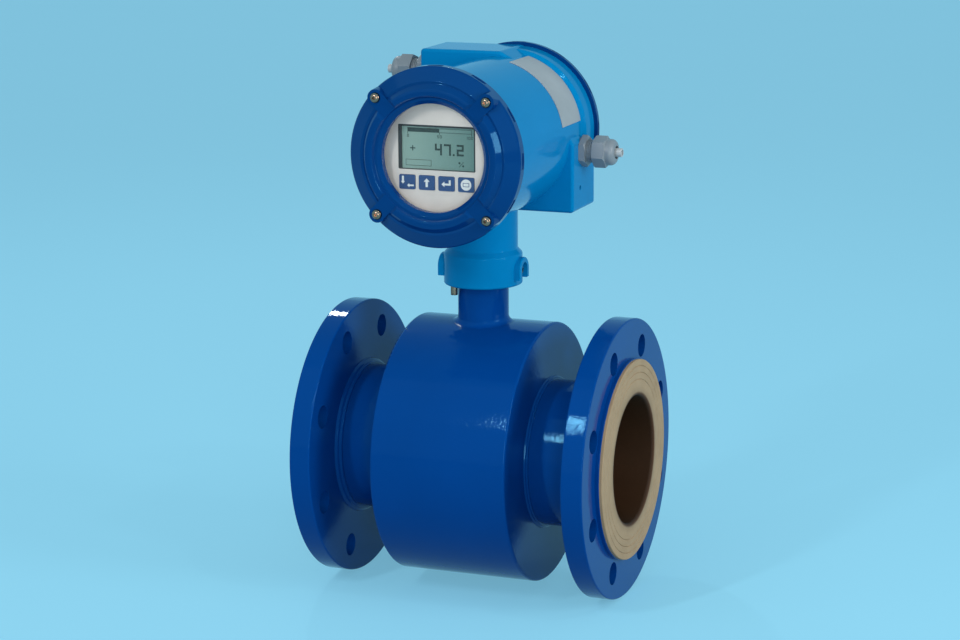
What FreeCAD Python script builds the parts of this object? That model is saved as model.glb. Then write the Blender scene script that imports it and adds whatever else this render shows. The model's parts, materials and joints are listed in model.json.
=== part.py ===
import FreeCAD, Part
import math
import os

# Electromagnetic flow meter with flanged ends and a display head on a neck. Millimetres.
# The origin is the centre of the flow bore, X runs along the pipe, Z runs up the neck,
# and the display faces -Y.

# ---- Flow line ----
BORE_R = 50.0
FACE_TO_FACE = 250.0
LINER_WALL = 3.9
TUBE_WALL = 3.6
BORE_LIP_R = 2.5

# ---- Flanges ----
FLANGE_R = 110.0
FLANGE_THICK = 17.0
FLANGE_EDGE_R = 1.2
RAISED_FACE_H = 3.1
RAISED_FACE_FROM_HOLES = 2.0
FLARE_FROM_RAISED_EDGE = 0.6
FLARE_THICK = 2.5
FLARE_EDGE_R = 0.8
FACE_GROOVE_SHARES = (0.18, 0.363, 0.549)
FACE_GROOVE_WIDTH = 0.8
FACE_GROOVE_DEPTH = 0.5
BOLT_COUNT = 8
BOLT_CIRCLE_FROM_EDGE = 20.0
BOLT_HOLE_R = 9.0
FLANGE_WELD_LEG = 5.0

# ---- Drum around the coils ----
DRUM_R = 102.4
DRUM_LENGTH = 110.5
DRUM_WALL = 4.0
DRUM_END_THICK = 4.0
DRUM_EDGE_R = 1.8
DRUM_WELD_LEG = 3.0

# ---- Magnet system ----
POLE_SHOE_THICK = 3.0
POLE_SHOE_LENGTH = 60.0
POLE_SHOE_ARC = 76.0
CORE_R = 11.0
COIL_R = 27.0
YOKE_CLEARANCE = 4.0
YOKE_WALL = 3.0
YOKE_WIDTH = 40.0

# ---- Electrodes ----
ELECTRODE_HEAD_R = 6.0
ELECTRODE_HEAD_THICK = 1.8
ELECTRODE_STEM_R = 3.0
ELECTRODE_RECESS = 0.1
BUSH_R = 5.0
BUSH_FLANGE_R = 8.0
BUSH_FLANGE_THICK = 2.5
ELECTRODE_NUT_FLATS = 10.0
ELECTRODE_NUT_THICK = 5.0
ELECTRODE_TAIL = 5.0

# ---- Neck ----
NECK_R = 20.0
NECK_WALL = 3.0
NECK_WELD_R = 5.0
NECK_SPIGOT = 22.0
NECK_SEAL_SECTION_R = 0.9
NECK_SEAL_BELOW_TOP = 4.5
CLAMP_GROOVE_DEPTH = 1.4
CLAMP_GROOVE_WIDTH = 7.0
TERMINAL_STRIP = (22.0, 11.0, 5.0)

# ---- Collar and upper neck of the head ----
COLLAR_R = 30.9
COLLAR_BOTTOM_Z = 132.2
COLLAR_SIDE_H = 24.3
COLLAR_TOP_H = 28.3
COLLAR_EDGE_R = 1.6
UPPER_NECK_R = 27.3
UPPER_NECK_BORE_R = 16.0
LUG_REACH = 34.7
LUG_WIDTH = 20.0
LUG_BOTTOM_H = 5.3
LUG_EDGE_R = 1.0
CLAMP_H = 12.4
LUG_POCKET_WIDTH = 12.0
LUG_POCKET_FLOOR = 30.0
SET_SCREW_R = 3.0
SET_SCREW_END = 32.7
SET_SCREW_SOCKET_R = 1.7
SET_SCREW_SOCKET_DEPTH = 3.0
EARTH_SCREW_R = 2.0
EARTH_SCREW_HEAD_R = 2.75
EARTH_SCREW_HEAD_H = 7.7
EARTH_SCREW_GRIP = 8.0
EARTH_SCREW_OFFSET = 24.9
EARTH_SCREW_ANGLE = 225.0

# ---- Head housing ----
HEAD_Z = 245.4
HEAD_FRONT_Y = -91.0
HEAD_REAR_Y = 80.0
BODY_R = 61.0
BODY_WALL = 6.0
MOUTH_STEP = 3.0
SEAT_FLANGE_RISE = 5.0
SEAT_FLANGE_THICK = 6.0
REAR_BAND_RISE = 3.2
REAR_BAND_LENGTH = 19.0
REAR_BAND_RAMP = 3.0
PARTITION_Y = 20.0
PARTITION_THICK = 5.0
BLOCK_FRONT_Y = 30.0
BLOCK_SIDE_RISE = 3.0
BLOCK_FLOOR_SINK = 1.0
BLOCK_ROOF_RISE = 4.0
BLOCK_WALL = 5.0
BLOCK_CORNER_R = 3.0
BLOCK_EDGE_R = 2.4
BLOCK_SHOULDER_H = 6.0
BLOCK_SHOULDER_R = 2.0
BLOCK_ROOF_END_X = 3.0
BLOCK_ROOF_END_R = 6.0
BLOCK_ROOF_FOOT_X = 14.0
BLOCK_FOOT_SINK = 1.6

# ---- Both covers ----
COVER_SCREW_COUNT = 4
COVER_SCREW_R = 2.0
COVER_SCREW_GRIP = 5.0
SCREW_HEAD_R = 3.6
SCREW_HEAD_H = 4.2
SCREW_SOCKET_R = 1.45
SCREW_SOCKET_DEPTH = 2.0
RIM_NOTCH_COUNT = 12
RIM_NOTCH_WIDTH = 12.0
RIM_NOTCH_DEPTH = 0.7
RIM_NOTCH_START = 1.2
SPIGOT_LENGTH = 6.0
SPIGOT_WALL = 4.4
COVER_SEAL_SECTION_R = 1.15
COVER_SEAL_BACK = 3.3

# ---- Front cover: radii beyond the body, then radii beyond or inside its mouth ----
COVER_RIM_OUT = 7.2
COVER_RIM_H = 7.0
COVER_SHOULDER_OUT = 6.2
COVER_SHOULDER_H = 8.0
COVER_SCREWS_OUT = 1.0
COVER_SKIRT_OUT = 2.5
COVER_SKIRT_H = 13.5
COVER_GROOVE_OUT = 0.8
COVER_GROOVE_H = 13.0
ARC_OUTER_IN = 2.8
ARC_INNER_IN = 8.0
ARC_ROOT_IN = 9.5
ARC_EDGE_R = 0.8
ARC_CROWN_R = 10.0
ARC_CROWN_RISE = 0.3
ARC_H = 17.0
COVER_FACE_H = 14.2
WINDOW_MOUTH_IN = 11.4
WINDOW_IN = 14.2
WINDOW_CHAMFER_H = 11.6
ARM_WIDTH = 12.0
ARM_H = 15.2
ARM_ROOT_H = 6.0
EAR_R = 6.3
EAR_BASE_R = 7.6
SCREW_POCKET_R = 4.0
SCREW_POCKET_DEPTH = 1.2
GLASS_IN = 9.0
GLASS_THICK = 3.5
GLASS_BACK_H = 2.0
GASKET_THICK = 1.0
GASKET_WIDTH = 2.4

# ---- Rear cover ----
REAR_RIM_OUT = 6.4
REAR_RIM_H = 4.0
REAR_FACE_OUT = 3.8
REAR_FACE_H = 7.0
REAR_COVER_WALL = 4.0
REAR_SCREWS_IN = 1.5
REAR_POCKET_R = 4.4
REAR_POCKET_DEPTH = 3.0

# ---- Display ----
FACEPLATE_IN = 5.0
FACEPLATE_FRONT_H = 0.5
FACEPLATE_THICK = 1.5
BEZEL_WIDTH = 61.7
BEZEL_HEIGHT = 33.7
BEZEL_CENTRE_X = -1.15
BEZEL_CENTRE_Y = 6.15
BEZEL_THICK = 1.3
LCD_WIDTH = 58.1
LCD_HEIGHT = 31.8
LCD_CENTRE_X = -0.45
LCD_CENTRE_Y = 5.7
LCD_PANEL_MARGIN = 1.2
LCD_PANEL_THICK = 3.5
CARRIER_DEPTH = 12.0
CARRIER_WALL = 2.2
CARRIER_FRONT_WALL = 6.0
CARRIER_FOOT_THICK = 2.5
DISPLAY_BOARD_THICK = 1.6
BOARD_SETBACK = 1.4
KEY_COUNT = 4
KEY_WIDTH = 12.9
KEY_HEIGHT = 11.0
KEY_PITCH = 15.77
KEY_ROW_X = -1.2
KEY_ROW_Y = -20.3
KEY_CORNER_R = 1.2
KEY_PROUD = 0.6
KEY_LEDGE = 0.7
KEY_LEDGE_THICK = 1.2
KEY_STEM_R = 2.5
KEY_TRAVEL = 0.8
SWITCH_SIZE = 6.0
SWITCH_H = 1.9

# ---- Electronics behind the display ----
BOARD_FROM_WALL = 6.0
BOARD_THICK = 1.6
BOARD_Y = -46.0
MEMORY_SIZE = (18.0, 18.0, 3.0)
MEMORY_SHARES = (-0.6, 0.3)
CAPACITOR_R = 6.0
CAPACITOR_LENGTH = 14.0
CAPACITOR_SHARES = (0.7, 0.3)
SOLDER_SINK = 0.2
PILLAR_COUNT = 4
PILLAR_FROM_BOARD_EDGE = 6.0
PILLAR_FLATS = 6.0
SUPPLY_HEIGHT = 26.0
SUPPLY_DEPTH = 24.0
SUPPLY_RISE = 19.0
TERMINAL_WAYS = 8
TERMINAL_PITCH = 8.0
TERMINAL_DEPTH = 16.0
TERMINAL_HEIGHT = 18.0
CABLE_R = 4.0
CABLE_BEND_R = 20.0
PLUG_SIZE = (16.0, 10.0, 8.0)

# ---- Cable glands ----
GLAND_FLATS = 22.0
GLAND_HEX_THICK = 5.0
GLAND_NUT_TURN = -13.0
GLAND_RING_PITCH = 1.5
GLAND_RING_DEPTH = 0.6
GLAND_THREAD_R = 10.0
GLAND_THREAD_LENGTH = 4.6
GLAND_COLLAR_R = 9.0
GLAND_COLLAR_END = 18.0
GLAND_BORE_R = 6.5
GLAND_NUT_START = 10.5
GLAND_NUT_FLATS_END = 21.0
GLAND_NUT_END = 28.0
GLAND_MOUTH_R = 5.2
GLAND_SEAL_LENGTH = 13.0
GLAND_PIN_R = 3.5
GLAND_PIN_OUT = 4.7
RIGHT_GLAND_Y = 53.0
RIGHT_GLAND_DROP = 13.5
LEFT_GLAND_Y = 44.0
LEFT_GLAND_RISE = 46.5
BLIND_HOLE_R = 2.0
BLIND_HOLE_DEPTH = 3.0
BLIND_HOLE_Y = 47.0
BLIND_HOLE_DROP = 42.0

# ---- Blank plate on the head ----
PLATE_FRONT_Y = 15.0
PLATE_REAR_Y = 57.0
PLATE_THICK = 0.45
PLATE_LOW_ANGLE = 9.1
PLATE_HIGH_ANGLE = 73.9

# ---- Fits ----
BOND_GAP = 0.05
SWIVEL_GAP = 0.05
THREAD_GAP = 0.05
LOOSE_GAP = 0.15
TAP_SPARE = 0.5
CUT_SPARE = 5.0

# ---- Places worked out from the sizes above ----
HALF_LENGTH = FACE_TO_FACE / 2
BOLT_CIRCLE_R = FLANGE_R - BOLT_CIRCLE_FROM_EDGE
RAISED_FACE_R = BOLT_CIRCLE_R - BOLT_HOLE_R - RAISED_FACE_FROM_HOLES
FLARE_R = RAISED_FACE_R - FLARE_FROM_RAISED_EDGE
FLARE_BACK_X = HALF_LENGTH - FLARE_THICK
FLANGE_FACE_X = FLARE_BACK_X - RAISED_FACE_H
FLANGE_BACK_X = FLANGE_FACE_X - FLANGE_THICK
LINER_R = BORE_R + LINER_WALL
TUBE_BORE_R = LINER_R + BOND_GAP
TUBE_R = TUBE_BORE_R + TUBE_WALL
TUBE_SEAT_R = TUBE_R + BOND_GAP
DRUM_HALF = DRUM_LENGTH / 2
DRUM_BORE_R = DRUM_R - DRUM_WALL
SHOE_R = TUBE_SEAT_R + POLE_SHOE_THICK
YOKE_R = DRUM_BORE_R - YOKE_CLEARANCE
YOKE_BORE_R = YOKE_R - YOKE_WALL
NECK_BORE_R = NECK_R - NECK_WALL
NECK_BOTTOM_Z = YOKE_R + 1.0
NECK_TOP_Z = COLLAR_BOTTOM_Z + NECK_SPIGOT
CLAMP_Z = COLLAR_BOTTOM_Z + CLAMP_H
COLLAR_TOP_Z = COLLAR_BOTTOM_Z + COLLAR_TOP_H
CLAMP_FLOOR_R = NECK_R - CLAMP_GROOVE_DEPTH
MOUTH_R = BODY_R - BODY_WALL
CAVITY_R = MOUTH_R - MOUTH_STEP
SEAT_FLANGE_R = BODY_R + SEAT_FLANGE_RISE
REAR_BAND_R = BODY_R + REAR_BAND_RISE
BLOCK_SIDE_X = BODY_R + BLOCK_SIDE_RISE
BLOCK_DROP = BODY_R - BLOCK_FLOOR_SINK
BLOCK_RISE = BODY_R + BLOCK_ROOF_RISE
COVER_R = BODY_R + COVER_RIM_OUT
COVER_SHOULDER_R = BODY_R + COVER_SHOULDER_OUT
COVER_SCREW_CIRCLE_R = BODY_R + COVER_SCREWS_OUT
COVER_SKIRT_R = MOUTH_R + COVER_SKIRT_OUT
COVER_GROOVE_R = MOUTH_R + COVER_GROOVE_OUT
ARC_OUTER_R = MOUTH_R - ARC_OUTER_IN
ARC_INNER_R = MOUTH_R - ARC_INNER_IN
ARC_ROOT_R = MOUTH_R - ARC_ROOT_IN
WINDOW_MOUTH_R = MOUTH_R - WINDOW_MOUTH_IN
WINDOW_R = MOUTH_R - WINDOW_IN
GLASS_R = MOUTH_R - GLASS_IN
REAR_RIM_R = BODY_R + REAR_RIM_OUT
REAR_FACE_R = BODY_R + REAR_FACE_OUT
REAR_SCREW_CIRCLE_R = BODY_R - REAR_SCREWS_IN
FACEPLATE_R = MOUTH_R - FACEPLATE_IN
BOARD_R = CAVITY_R - BOARD_FROM_WALL
PILLAR_CIRCLE_R = BOARD_R - PILLAR_FROM_BOARD_EDGE
PILLAR_OFFSET = PILLAR_CIRCLE_R * math.sqrt(0.5)
SUPPLY_WIDTH = 2 * (PILLAR_OFFSET - PILLAR_FLATS)
MOUTH_DEPTH = CARRIER_DEPTH + 1.0
FACEPLATE_BACK_H = FACEPLATE_FRONT_H - FACEPLATE_THICK
CARRIER_BACK_H = FACEPLATE_BACK_H - CARRIER_DEPTH
SPIGOT_R = MOUTH_R - LOOSE_GAP
ARM_ANGLE = 45.0
BOARD_BACK_Y = BOARD_Y + BOARD_THICK

ORIGIN = FreeCAD.Vector(0, 0, 0)
ALONG_X = FreeCAD.Vector(1, 0, 0)
ALONG_Y = FreeCAD.Vector(0, 1, 0)
ALONG_Z = FreeCAD.Vector(0, 0, 1)
TO_FRONT = FreeCAD.Vector(0, -1, 0)
TO_REAR = FreeCAD.Vector(0, 1, 0)
TO_LEFT = FreeCAD.Vector(-1, 0, 0)
TO_RIGHT = FreeCAD.Vector(1, 0, 0)
HEAD_CENTRE = FreeCAD.Vector(0, 0, HEAD_Z)


# ---- Drawing helpers ----
def in_front_plane(u, v):
    """Place a sketch point in the XZ plane."""
    return FreeCAD.Vector(u, 0, v)


def in_side_plane(u, v):
    """Place a sketch point in the YZ plane."""
    return FreeCAD.Vector(0, u, v)


def in_floor_plane(u, v):
    """Place a sketch point in the XY plane."""
    return FreeCAD.Vector(u, v, 0)


def round_corner(before, here, after, radius):
    """Start, middle and end of the arc that rounds one corner."""
    back = before.sub(here).normalize()
    ahead = after.sub(here).normalize()
    half = back.getAngle(ahead) / 2
    reach = radius / math.tan(half)
    inward = back.add(ahead).normalize()
    middle = here + inward * (radius / math.sin(half) - radius)
    return here + back * reach, middle, here + ahead * reach


def outline(points, plane):
    """Closed wire through sketch points; a third value rounds that corner."""
    spots = [plane(point[0], point[1]) for point in points]
    edges = []
    ends = []
    for index, point in enumerate(points):
        here = spots[index]
        if len(point) < 3:
            ends.append((here, here))
            continue
        after = spots[(index + 1) % len(spots)]
        start, middle, end = round_corner(spots[index - 1], here, after, point[2])
        edges.append(Part.Arc(start, middle, end).toShape())
        ends.append((start, end))
    for index in range(len(points)):
        start = ends[index - 1][1]
        end = ends[index][0]
        if start.distanceToPoint(end) > 1e-6:
            edges.append(Part.makeLine(start, end))
    return Part.Wire(Part.__sortEdges__(edges))


def turned_x(points):
    """Solid turned about X from (x, radius) points."""
    return Part.Face(outline(points, in_front_plane)).revolve(ORIGIN, ALONG_X, 360)


def turned_z(points):
    """Solid turned about Z from (radius, z) points."""
    return Part.Face(outline(points, in_front_plane)).revolve(ORIGIN, ALONG_Z, 360)


def slab(points, thick):
    """Solid of a sketch in the XY plane, raised by its thickness."""
    return Part.Face(outline(points, in_floor_plane)).extrude(ALONG_Z * thick)


def rectangle(width, height, radius, x=0.0, y=0.0):
    """Sketch of a rounded rectangle about a centre."""
    right = x + width / 2
    left = x - width / 2
    top = y + height / 2
    bottom = y - height / 2
    if radius <= 0:
        return [(left, bottom), (right, bottom), (right, top), (left, top)]
    return [
        (left, bottom, radius),
        (right, bottom, radius),
        (right, top, radius),
        (left, top, radius),
    ]


def hexagon(flats, thick):
    """Hexagonal prism standing on the XY plane."""
    radius = flats / math.sqrt(3)
    angles = [math.radians(60 * side) for side in range(6)]
    return slab([(radius * math.cos(a), radius * math.sin(a)) for a in angles], thick)


def rod(radius, bottom, top):
    """Cylinder about Z between two heights."""
    return Part.makeCylinder(radius, top - bottom, FreeCAD.Vector(0, 0, bottom))


def ring(radius, bore, bottom, top):
    """Plain ring about Z between two heights."""
    return turned_z([(bore, bottom), (radius, bottom), (radius, top), (bore, top)])


def moved(shape, offset, toward=ALONG_Z):
    """Copy of a shape whose own +Z is aimed along a direction, carried to a point."""
    piece = shape.copy()
    turn = FreeCAD.Rotation(ALONG_Z, toward)
    piece.Placement = FreeCAD.Placement(offset, turn).multiply(piece.Placement)
    return piece


def spun(shape, angle, axis=ALONG_Z):
    """Copy of a shape turned about an axis through the origin."""
    piece = shape.copy()
    piece.rotate(ORIGIN, axis, angle)
    return piece


def circled(shape, count, first_angle=0.0, axis=ALONG_Z):
    """Equal copies of a shape spread round an axis."""
    return [spun(shape, first_angle + 360.0 * n / count, axis) for n in range(count)]


def united(shapes):
    """One clean solid from overlapping shapes."""
    return shapes[0].multiFuse(shapes[1:]).removeSplitter()


def on_front(shape):
    """Carry a shape from the display's own frame to the front of the head."""
    return moved(shape, FreeCAD.Vector(0, HEAD_FRONT_Y, HEAD_Z), TO_FRONT)


def on_rear(shape):
    """Carry a shape from a cover's own frame to the rear of the head."""
    return moved(shape, FreeCAD.Vector(0, HEAD_REAR_Y, HEAD_Z), TO_REAR)


def mirrored(shape):
    """Mirror image of a shape across the middle plane of the pipe."""
    return shape.mirror(ORIGIN, ALONG_X)


# ---- Flow line ----
def measuring_tube():
    """Tube between the raised faces, drilled for the two electrodes."""
    tube = turned_x([
        (-FLARE_BACK_X, TUBE_BORE_R),
        (FLARE_BACK_X, TUBE_BORE_R),
        (FLARE_BACK_X, TUBE_R),
        (-FLARE_BACK_X, TUBE_R),
    ])
    return tube.cut(across_y(rod(BUSH_R + BOND_GAP, BORE_R, TUBE_R + CUT_SPARE)))


def across_y(shape):
    """A shape aimed both ways along Y."""
    return Part.makeCompound([moved(shape, ORIGIN, TO_FRONT), moved(shape, ORIGIN, TO_REAR)])


def liner():
    """Bore lining that flares out over both raised faces."""
    half = [
        (0, BORE_R),
        (HALF_LENGTH, BORE_R, BORE_LIP_R),
        (HALF_LENGTH, FLARE_R, FLARE_EDGE_R),
        (FLARE_BACK_X, FLARE_R),
        (FLARE_BACK_X, LINER_R),
        (0, LINER_R),
    ]
    right = turned_x(half)
    for share in FACE_GROOVE_SHARES:
        right = right.cut(face_groove(FLARE_R - share * (FLARE_R - BORE_R)))
    lining = united([right, mirrored(right)])
    head_pocket = rod(
        ELECTRODE_HEAD_R + BOND_GAP,
        0,
        BORE_R + ELECTRODE_RECESS + ELECTRODE_HEAD_THICK,
    )
    lining = lining.cut(across_y(head_pocket))
    return lining.cut(across_y(rod(ELECTRODE_STEM_R + BOND_GAP, 0, TUBE_R)))


def face_groove(radius):
    """One shallow concentric groove in the right sealing face."""
    return turned_x([
        (HALF_LENGTH - FACE_GROOVE_DEPTH, radius),
        (HALF_LENGTH + CUT_SPARE, radius - FACE_GROOVE_WIDTH / 2 - CUT_SPARE * 0.8),
        (HALF_LENGTH + CUT_SPARE, radius + FACE_GROOVE_WIDTH / 2 + CUT_SPARE * 0.8),
    ])


def pipe_weld(start, direction, size):
    """Two-pass fillet weld round the tube, rising against a flat face."""
    leg = size * direction
    foot = TUBE_SEAT_R
    return turned_x([
        (start, foot),
        (start, foot + size),
        (start + leg * 0.42, foot + size * 0.82, size * 0.2),
        (start + leg * 0.58, foot + size * 0.5, size * 0.1),
        (start + leg * 0.95, foot + size * 0.42, size * 0.2),
        (start + leg, foot),
    ])


def right_flange():
    """Drilled flange with its raised face and the weld behind it."""
    disc = turned_x([
        (FLANGE_BACK_X, TUBE_SEAT_R),
        (FLANGE_BACK_X, FLANGE_R, FLANGE_EDGE_R),
        (FLANGE_FACE_X, FLANGE_R, FLANGE_EDGE_R),
        (FLANGE_FACE_X, RAISED_FACE_R),
        (FLARE_BACK_X, RAISED_FACE_R, FLANGE_EDGE_R / 2),
        (FLARE_BACK_X, TUBE_SEAT_R),
    ])
    drill = Part.makeCylinder(
        BOLT_HOLE_R,
        FLANGE_THICK + 2 * CUT_SPARE,
        FreeCAD.Vector(FLANGE_BACK_X - CUT_SPARE, 0, BOLT_CIRCLE_R),
        ALONG_X,
    )
    first_angle = 180.0 / BOLT_COUNT
    disc = disc.cut(Part.makeCompound(circled(drill, BOLT_COUNT, first_angle, ALONG_X)))
    return united([disc, pipe_weld(FLANGE_BACK_X, -1, FLANGE_WELD_LEG)])


# ---- Drum ----
def drum_shell():
    """Rolled shell between the end plates, pierced for the neck."""
    inside_half = DRUM_HALF - DRUM_END_THICK
    shell = turned_x([
        (-inside_half, DRUM_BORE_R),
        (inside_half, DRUM_BORE_R),
        (inside_half, DRUM_R),
        (-inside_half, DRUM_R),
    ])
    return shell.cut(rod(NECK_R + BOND_GAP, 0, DRUM_R + CUT_SPARE))


def right_drum_end():
    """Flat end plate of the drum with its weld on the tube."""
    plate = turned_x([
        (DRUM_HALF - DRUM_END_THICK, TUBE_SEAT_R),
        (DRUM_HALF - DRUM_END_THICK, DRUM_R),
        (DRUM_HALF, DRUM_R, DRUM_EDGE_R),
        (DRUM_HALF, TUBE_SEAT_R),
    ])
    return united([plate, pipe_weld(DRUM_HALF, 1, DRUM_WELD_LEG)])


# ---- Magnet system ----
def upper_pole_shoe():
    """Curved shoe that lies on the tube below the coil."""
    half = POLE_SHOE_LENGTH / 2
    section = Part.Face(outline([
        (-half, TUBE_SEAT_R),
        (half, TUBE_SEAT_R),
        (half, SHOE_R),
        (-half, SHOE_R),
    ], in_front_plane))
    section.rotate(ORIGIN, ALONG_X, -POLE_SHOE_ARC / 2)
    return section.revolve(ORIGIN, ALONG_X, POLE_SHOE_ARC)


def upper_core():
    """Round iron core between the shoe and the yoke."""
    core = rod(CORE_R, TUBE_R, YOKE_R)
    length = YOKE_WIDTH + 2 * CUT_SPARE
    start = FreeCAD.Vector(-length / 2, 0, 0)
    core = core.cut(Part.makeCylinder(SHOE_R + BOND_GAP, length, start, ALONG_X))
    return core.common(Part.makeCylinder(YOKE_BORE_R - BOND_GAP, length, start, ALONG_X))


def upper_coil():
    """Wound coil round the core."""
    bottom = SHOE_R + BOND_GAP
    top = math.sqrt(YOKE_BORE_R ** 2 - COIL_R ** 2) - TAP_SPARE
    bore = CORE_R + LOOSE_GAP
    return turned_z([
        (bore, bottom),
        (COIL_R, bottom, 1.5),
        (COIL_R, top, 1.5),
        (bore, top),
    ])


def yoke_ring():
    """Iron band that closes the magnetic path inside the drum."""
    half = YOKE_WIDTH / 2
    return turned_x([
        (-half, YOKE_BORE_R),
        (half, YOKE_BORE_R),
        (half, YOKE_R),
        (-half, YOKE_R),
    ])


def below(shape):
    """The same piece on the other side of the tube."""
    return spun(shape, 180, ALONG_X)


# ---- Electrodes ----
def electrode():
    """Headed pin that meets the fluid at the bore wall."""
    face = BORE_R + ELECTRODE_RECESS
    tail = TUBE_SEAT_R + BUSH_FLANGE_THICK + ELECTRODE_NUT_THICK + ELECTRODE_TAIL
    return turned_z([
        (0, face),
        (ELECTRODE_HEAD_R, face),
        (ELECTRODE_HEAD_R, face + ELECTRODE_HEAD_THICK),
        (ELECTRODE_STEM_R, face + ELECTRODE_HEAD_THICK),
        (ELECTRODE_STEM_R, tail),
        (0, tail),
    ])


def electrode_bush():
    """Flanged insulating bush in the tube wall."""
    bore = ELECTRODE_STEM_R + BOND_GAP
    return turned_z([
        (bore, TUBE_BORE_R),
        (BUSH_R, TUBE_BORE_R),
        (BUSH_R, TUBE_SEAT_R),
        (BUSH_FLANGE_R, TUBE_SEAT_R),
        (BUSH_FLANGE_R, TUBE_SEAT_R + BUSH_FLANGE_THICK),
        (bore, TUBE_SEAT_R + BUSH_FLANGE_THICK),
    ])


def electrode_nut():
    """Hexagon nut that draws the electrode out against its bush."""
    nut = hexagon(ELECTRODE_NUT_FLATS, ELECTRODE_NUT_THICK)
    nut = nut.cut(rod(ELECTRODE_STEM_R + THREAD_GAP, -1, ELECTRODE_NUT_THICK + 1))
    return moved(nut, FreeCAD.Vector(0, 0, TUBE_SEAT_R + BUSH_FLANGE_THICK))


# ---- Neck ----
def neck_with_weld():
    """Neck rod above the drum, flared into its weld on the curved shell."""
    length = DRUM_LENGTH - 2 * DRUM_END_THICK
    start = FreeCAD.Vector(-length / 2, 0, 0)
    drum = Part.makeCylinder(DRUM_R + BOND_GAP, length, start, ALONG_X)
    joined = drum.fuse(rod(NECK_R, 0, NECK_TOP_Z))
    seam = [edge for edge in joined.Edges if is_neck_seam(edge)]
    return joined.makeFillet(NECK_WELD_R, seam).cut(drum)


def is_neck_seam(edge):
    """True for the saddle line where the neck meets the drum."""
    box = edge.BoundBox
    wide = box.XLength > NECK_R and box.YLength > NECK_R
    return wide and box.ZMin > DRUM_R - NECK_R and box.ZMax < DRUM_R + 1


def neck_tube():
    """Neck with its weld, seal groove and the groove for the clamp screws."""
    neck = united([neck_with_weld(), rod(NECK_R, NECK_BOTTOM_Z, NECK_TOP_Z)])
    neck = neck.cut(rod(NECK_BORE_R, 0, NECK_TOP_Z + CUT_SPARE))
    return neck.cut(seal_groove()).cut(clamp_groove())


def seal_groove():
    """Groove near the neck's top for its O-ring."""
    middle = NECK_TOP_Z - NECK_SEAL_BELOW_TOP
    half = NECK_SEAL_SECTION_R + LOOSE_GAP
    floor = NECK_R + SWIVEL_GAP - 2 * NECK_SEAL_SECTION_R - LOOSE_GAP
    return ring(NECK_R + CUT_SPARE, floor, middle - half, middle + half)


def neck_seal():
    """O-ring between the neck and the collar."""
    radius = NECK_R - NECK_SEAL_SECTION_R
    torus = Part.makeTorus(radius, NECK_SEAL_SECTION_R)
    return moved(torus, FreeCAD.Vector(0, 0, NECK_TOP_Z - NECK_SEAL_BELOW_TOP))


def clamp_groove():
    """Shallow tapered groove that the clamp screws bite into."""
    half = CLAMP_GROOVE_WIDTH / 2
    return turned_z([
        (CLAMP_FLOOR_R, CLAMP_Z - half + CLAMP_GROOVE_DEPTH),
        (NECK_R + 1, CLAMP_Z - half - 1),
        (NECK_R + 1, CLAMP_Z + half + 1),
        (CLAMP_FLOOR_R, CLAMP_Z + half - CLAMP_GROOVE_DEPTH),
    ])


def coil_terminal_strip():
    """Small strip on the yoke where the coil leads join the cable."""
    width, depth, height = TERMINAL_STRIP
    strip = slab(rectangle(width, depth, 1.0), height)
    return moved(strip, FreeCAD.Vector(0, 0, YOKE_R))


# ---- Head housing ----
def housing_outside():
    """Round body with its front seat flange and the wider band at its rear."""
    flange_back = HEAD_FRONT_Y + SEAT_FLANGE_THICK
    band_front = HEAD_REAR_Y - REAR_BAND_LENGTH
    body = turned_z([
        (0, HEAD_FRONT_Y),
        (SEAT_FLANGE_R, HEAD_FRONT_Y),
        (SEAT_FLANGE_R, flange_back, 1.0),
        (BODY_R, flange_back, 2.0),
        (BODY_R, band_front - REAR_BAND_RAMP, 1.5),
        (REAR_BAND_R, band_front, 1.5),
        (REAR_BAND_R, HEAD_REAR_Y),
        (0, HEAD_REAR_Y),
    ])
    return moved(body, HEAD_CENTRE, TO_REAR)


def low_block_sketch(inset=0.0):
    """Square corner at the lower right of the head, seen from the front."""
    side = BLOCK_SIDE_X - inset
    floor = -BLOCK_DROP + inset
    return [
        (0, -BLOCK_SHOULDER_H),
        (0, floor, BLOCK_CORNER_R),
        (side, floor, BLOCK_CORNER_R),
        (side, -BLOCK_SHOULDER_H, BLOCK_SHOULDER_R),
        (BODY_R - BLOCK_FLOOR_SINK - inset, 0),
    ]


def high_block_sketch(inset=0.0):
    """Square corner at the upper left of the head, seen from the front."""
    side = -BLOCK_SIDE_X + inset
    roof = BLOCK_RISE - inset
    return [
        (0, BLOCK_SHOULDER_H),
        (BLOCK_ROOF_FOOT_X - inset, BODY_R - BLOCK_FOOT_SINK - inset),
        (BLOCK_ROOF_END_X - inset, roof, BLOCK_ROOF_END_R),
        (side, roof, BLOCK_CORNER_R),
        (side, BLOCK_SHOULDER_H, BLOCK_SHOULDER_R),
        (-BODY_R + BLOCK_FLOOR_SINK + inset, 0),
    ]


def head_prism(points, front, rear):
    """Prism along Y from a sketch about the head's axis."""
    face = Part.Face(outline(points, in_front_plane))
    face.translate(FreeCAD.Vector(0, front, HEAD_Z))
    return face.extrude(ALONG_Y * (rear - front))


def corner_block(points):
    """Corner block with its front edges rounded."""
    block = head_prism(points, BLOCK_FRONT_Y, HEAD_REAR_Y)
    edges = [edge for edge in block.Edges if edge.BoundBox.YMax < BLOCK_FRONT_Y + 0.01]
    return block.makeFillet(BLOCK_EDGE_R, edges)


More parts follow.
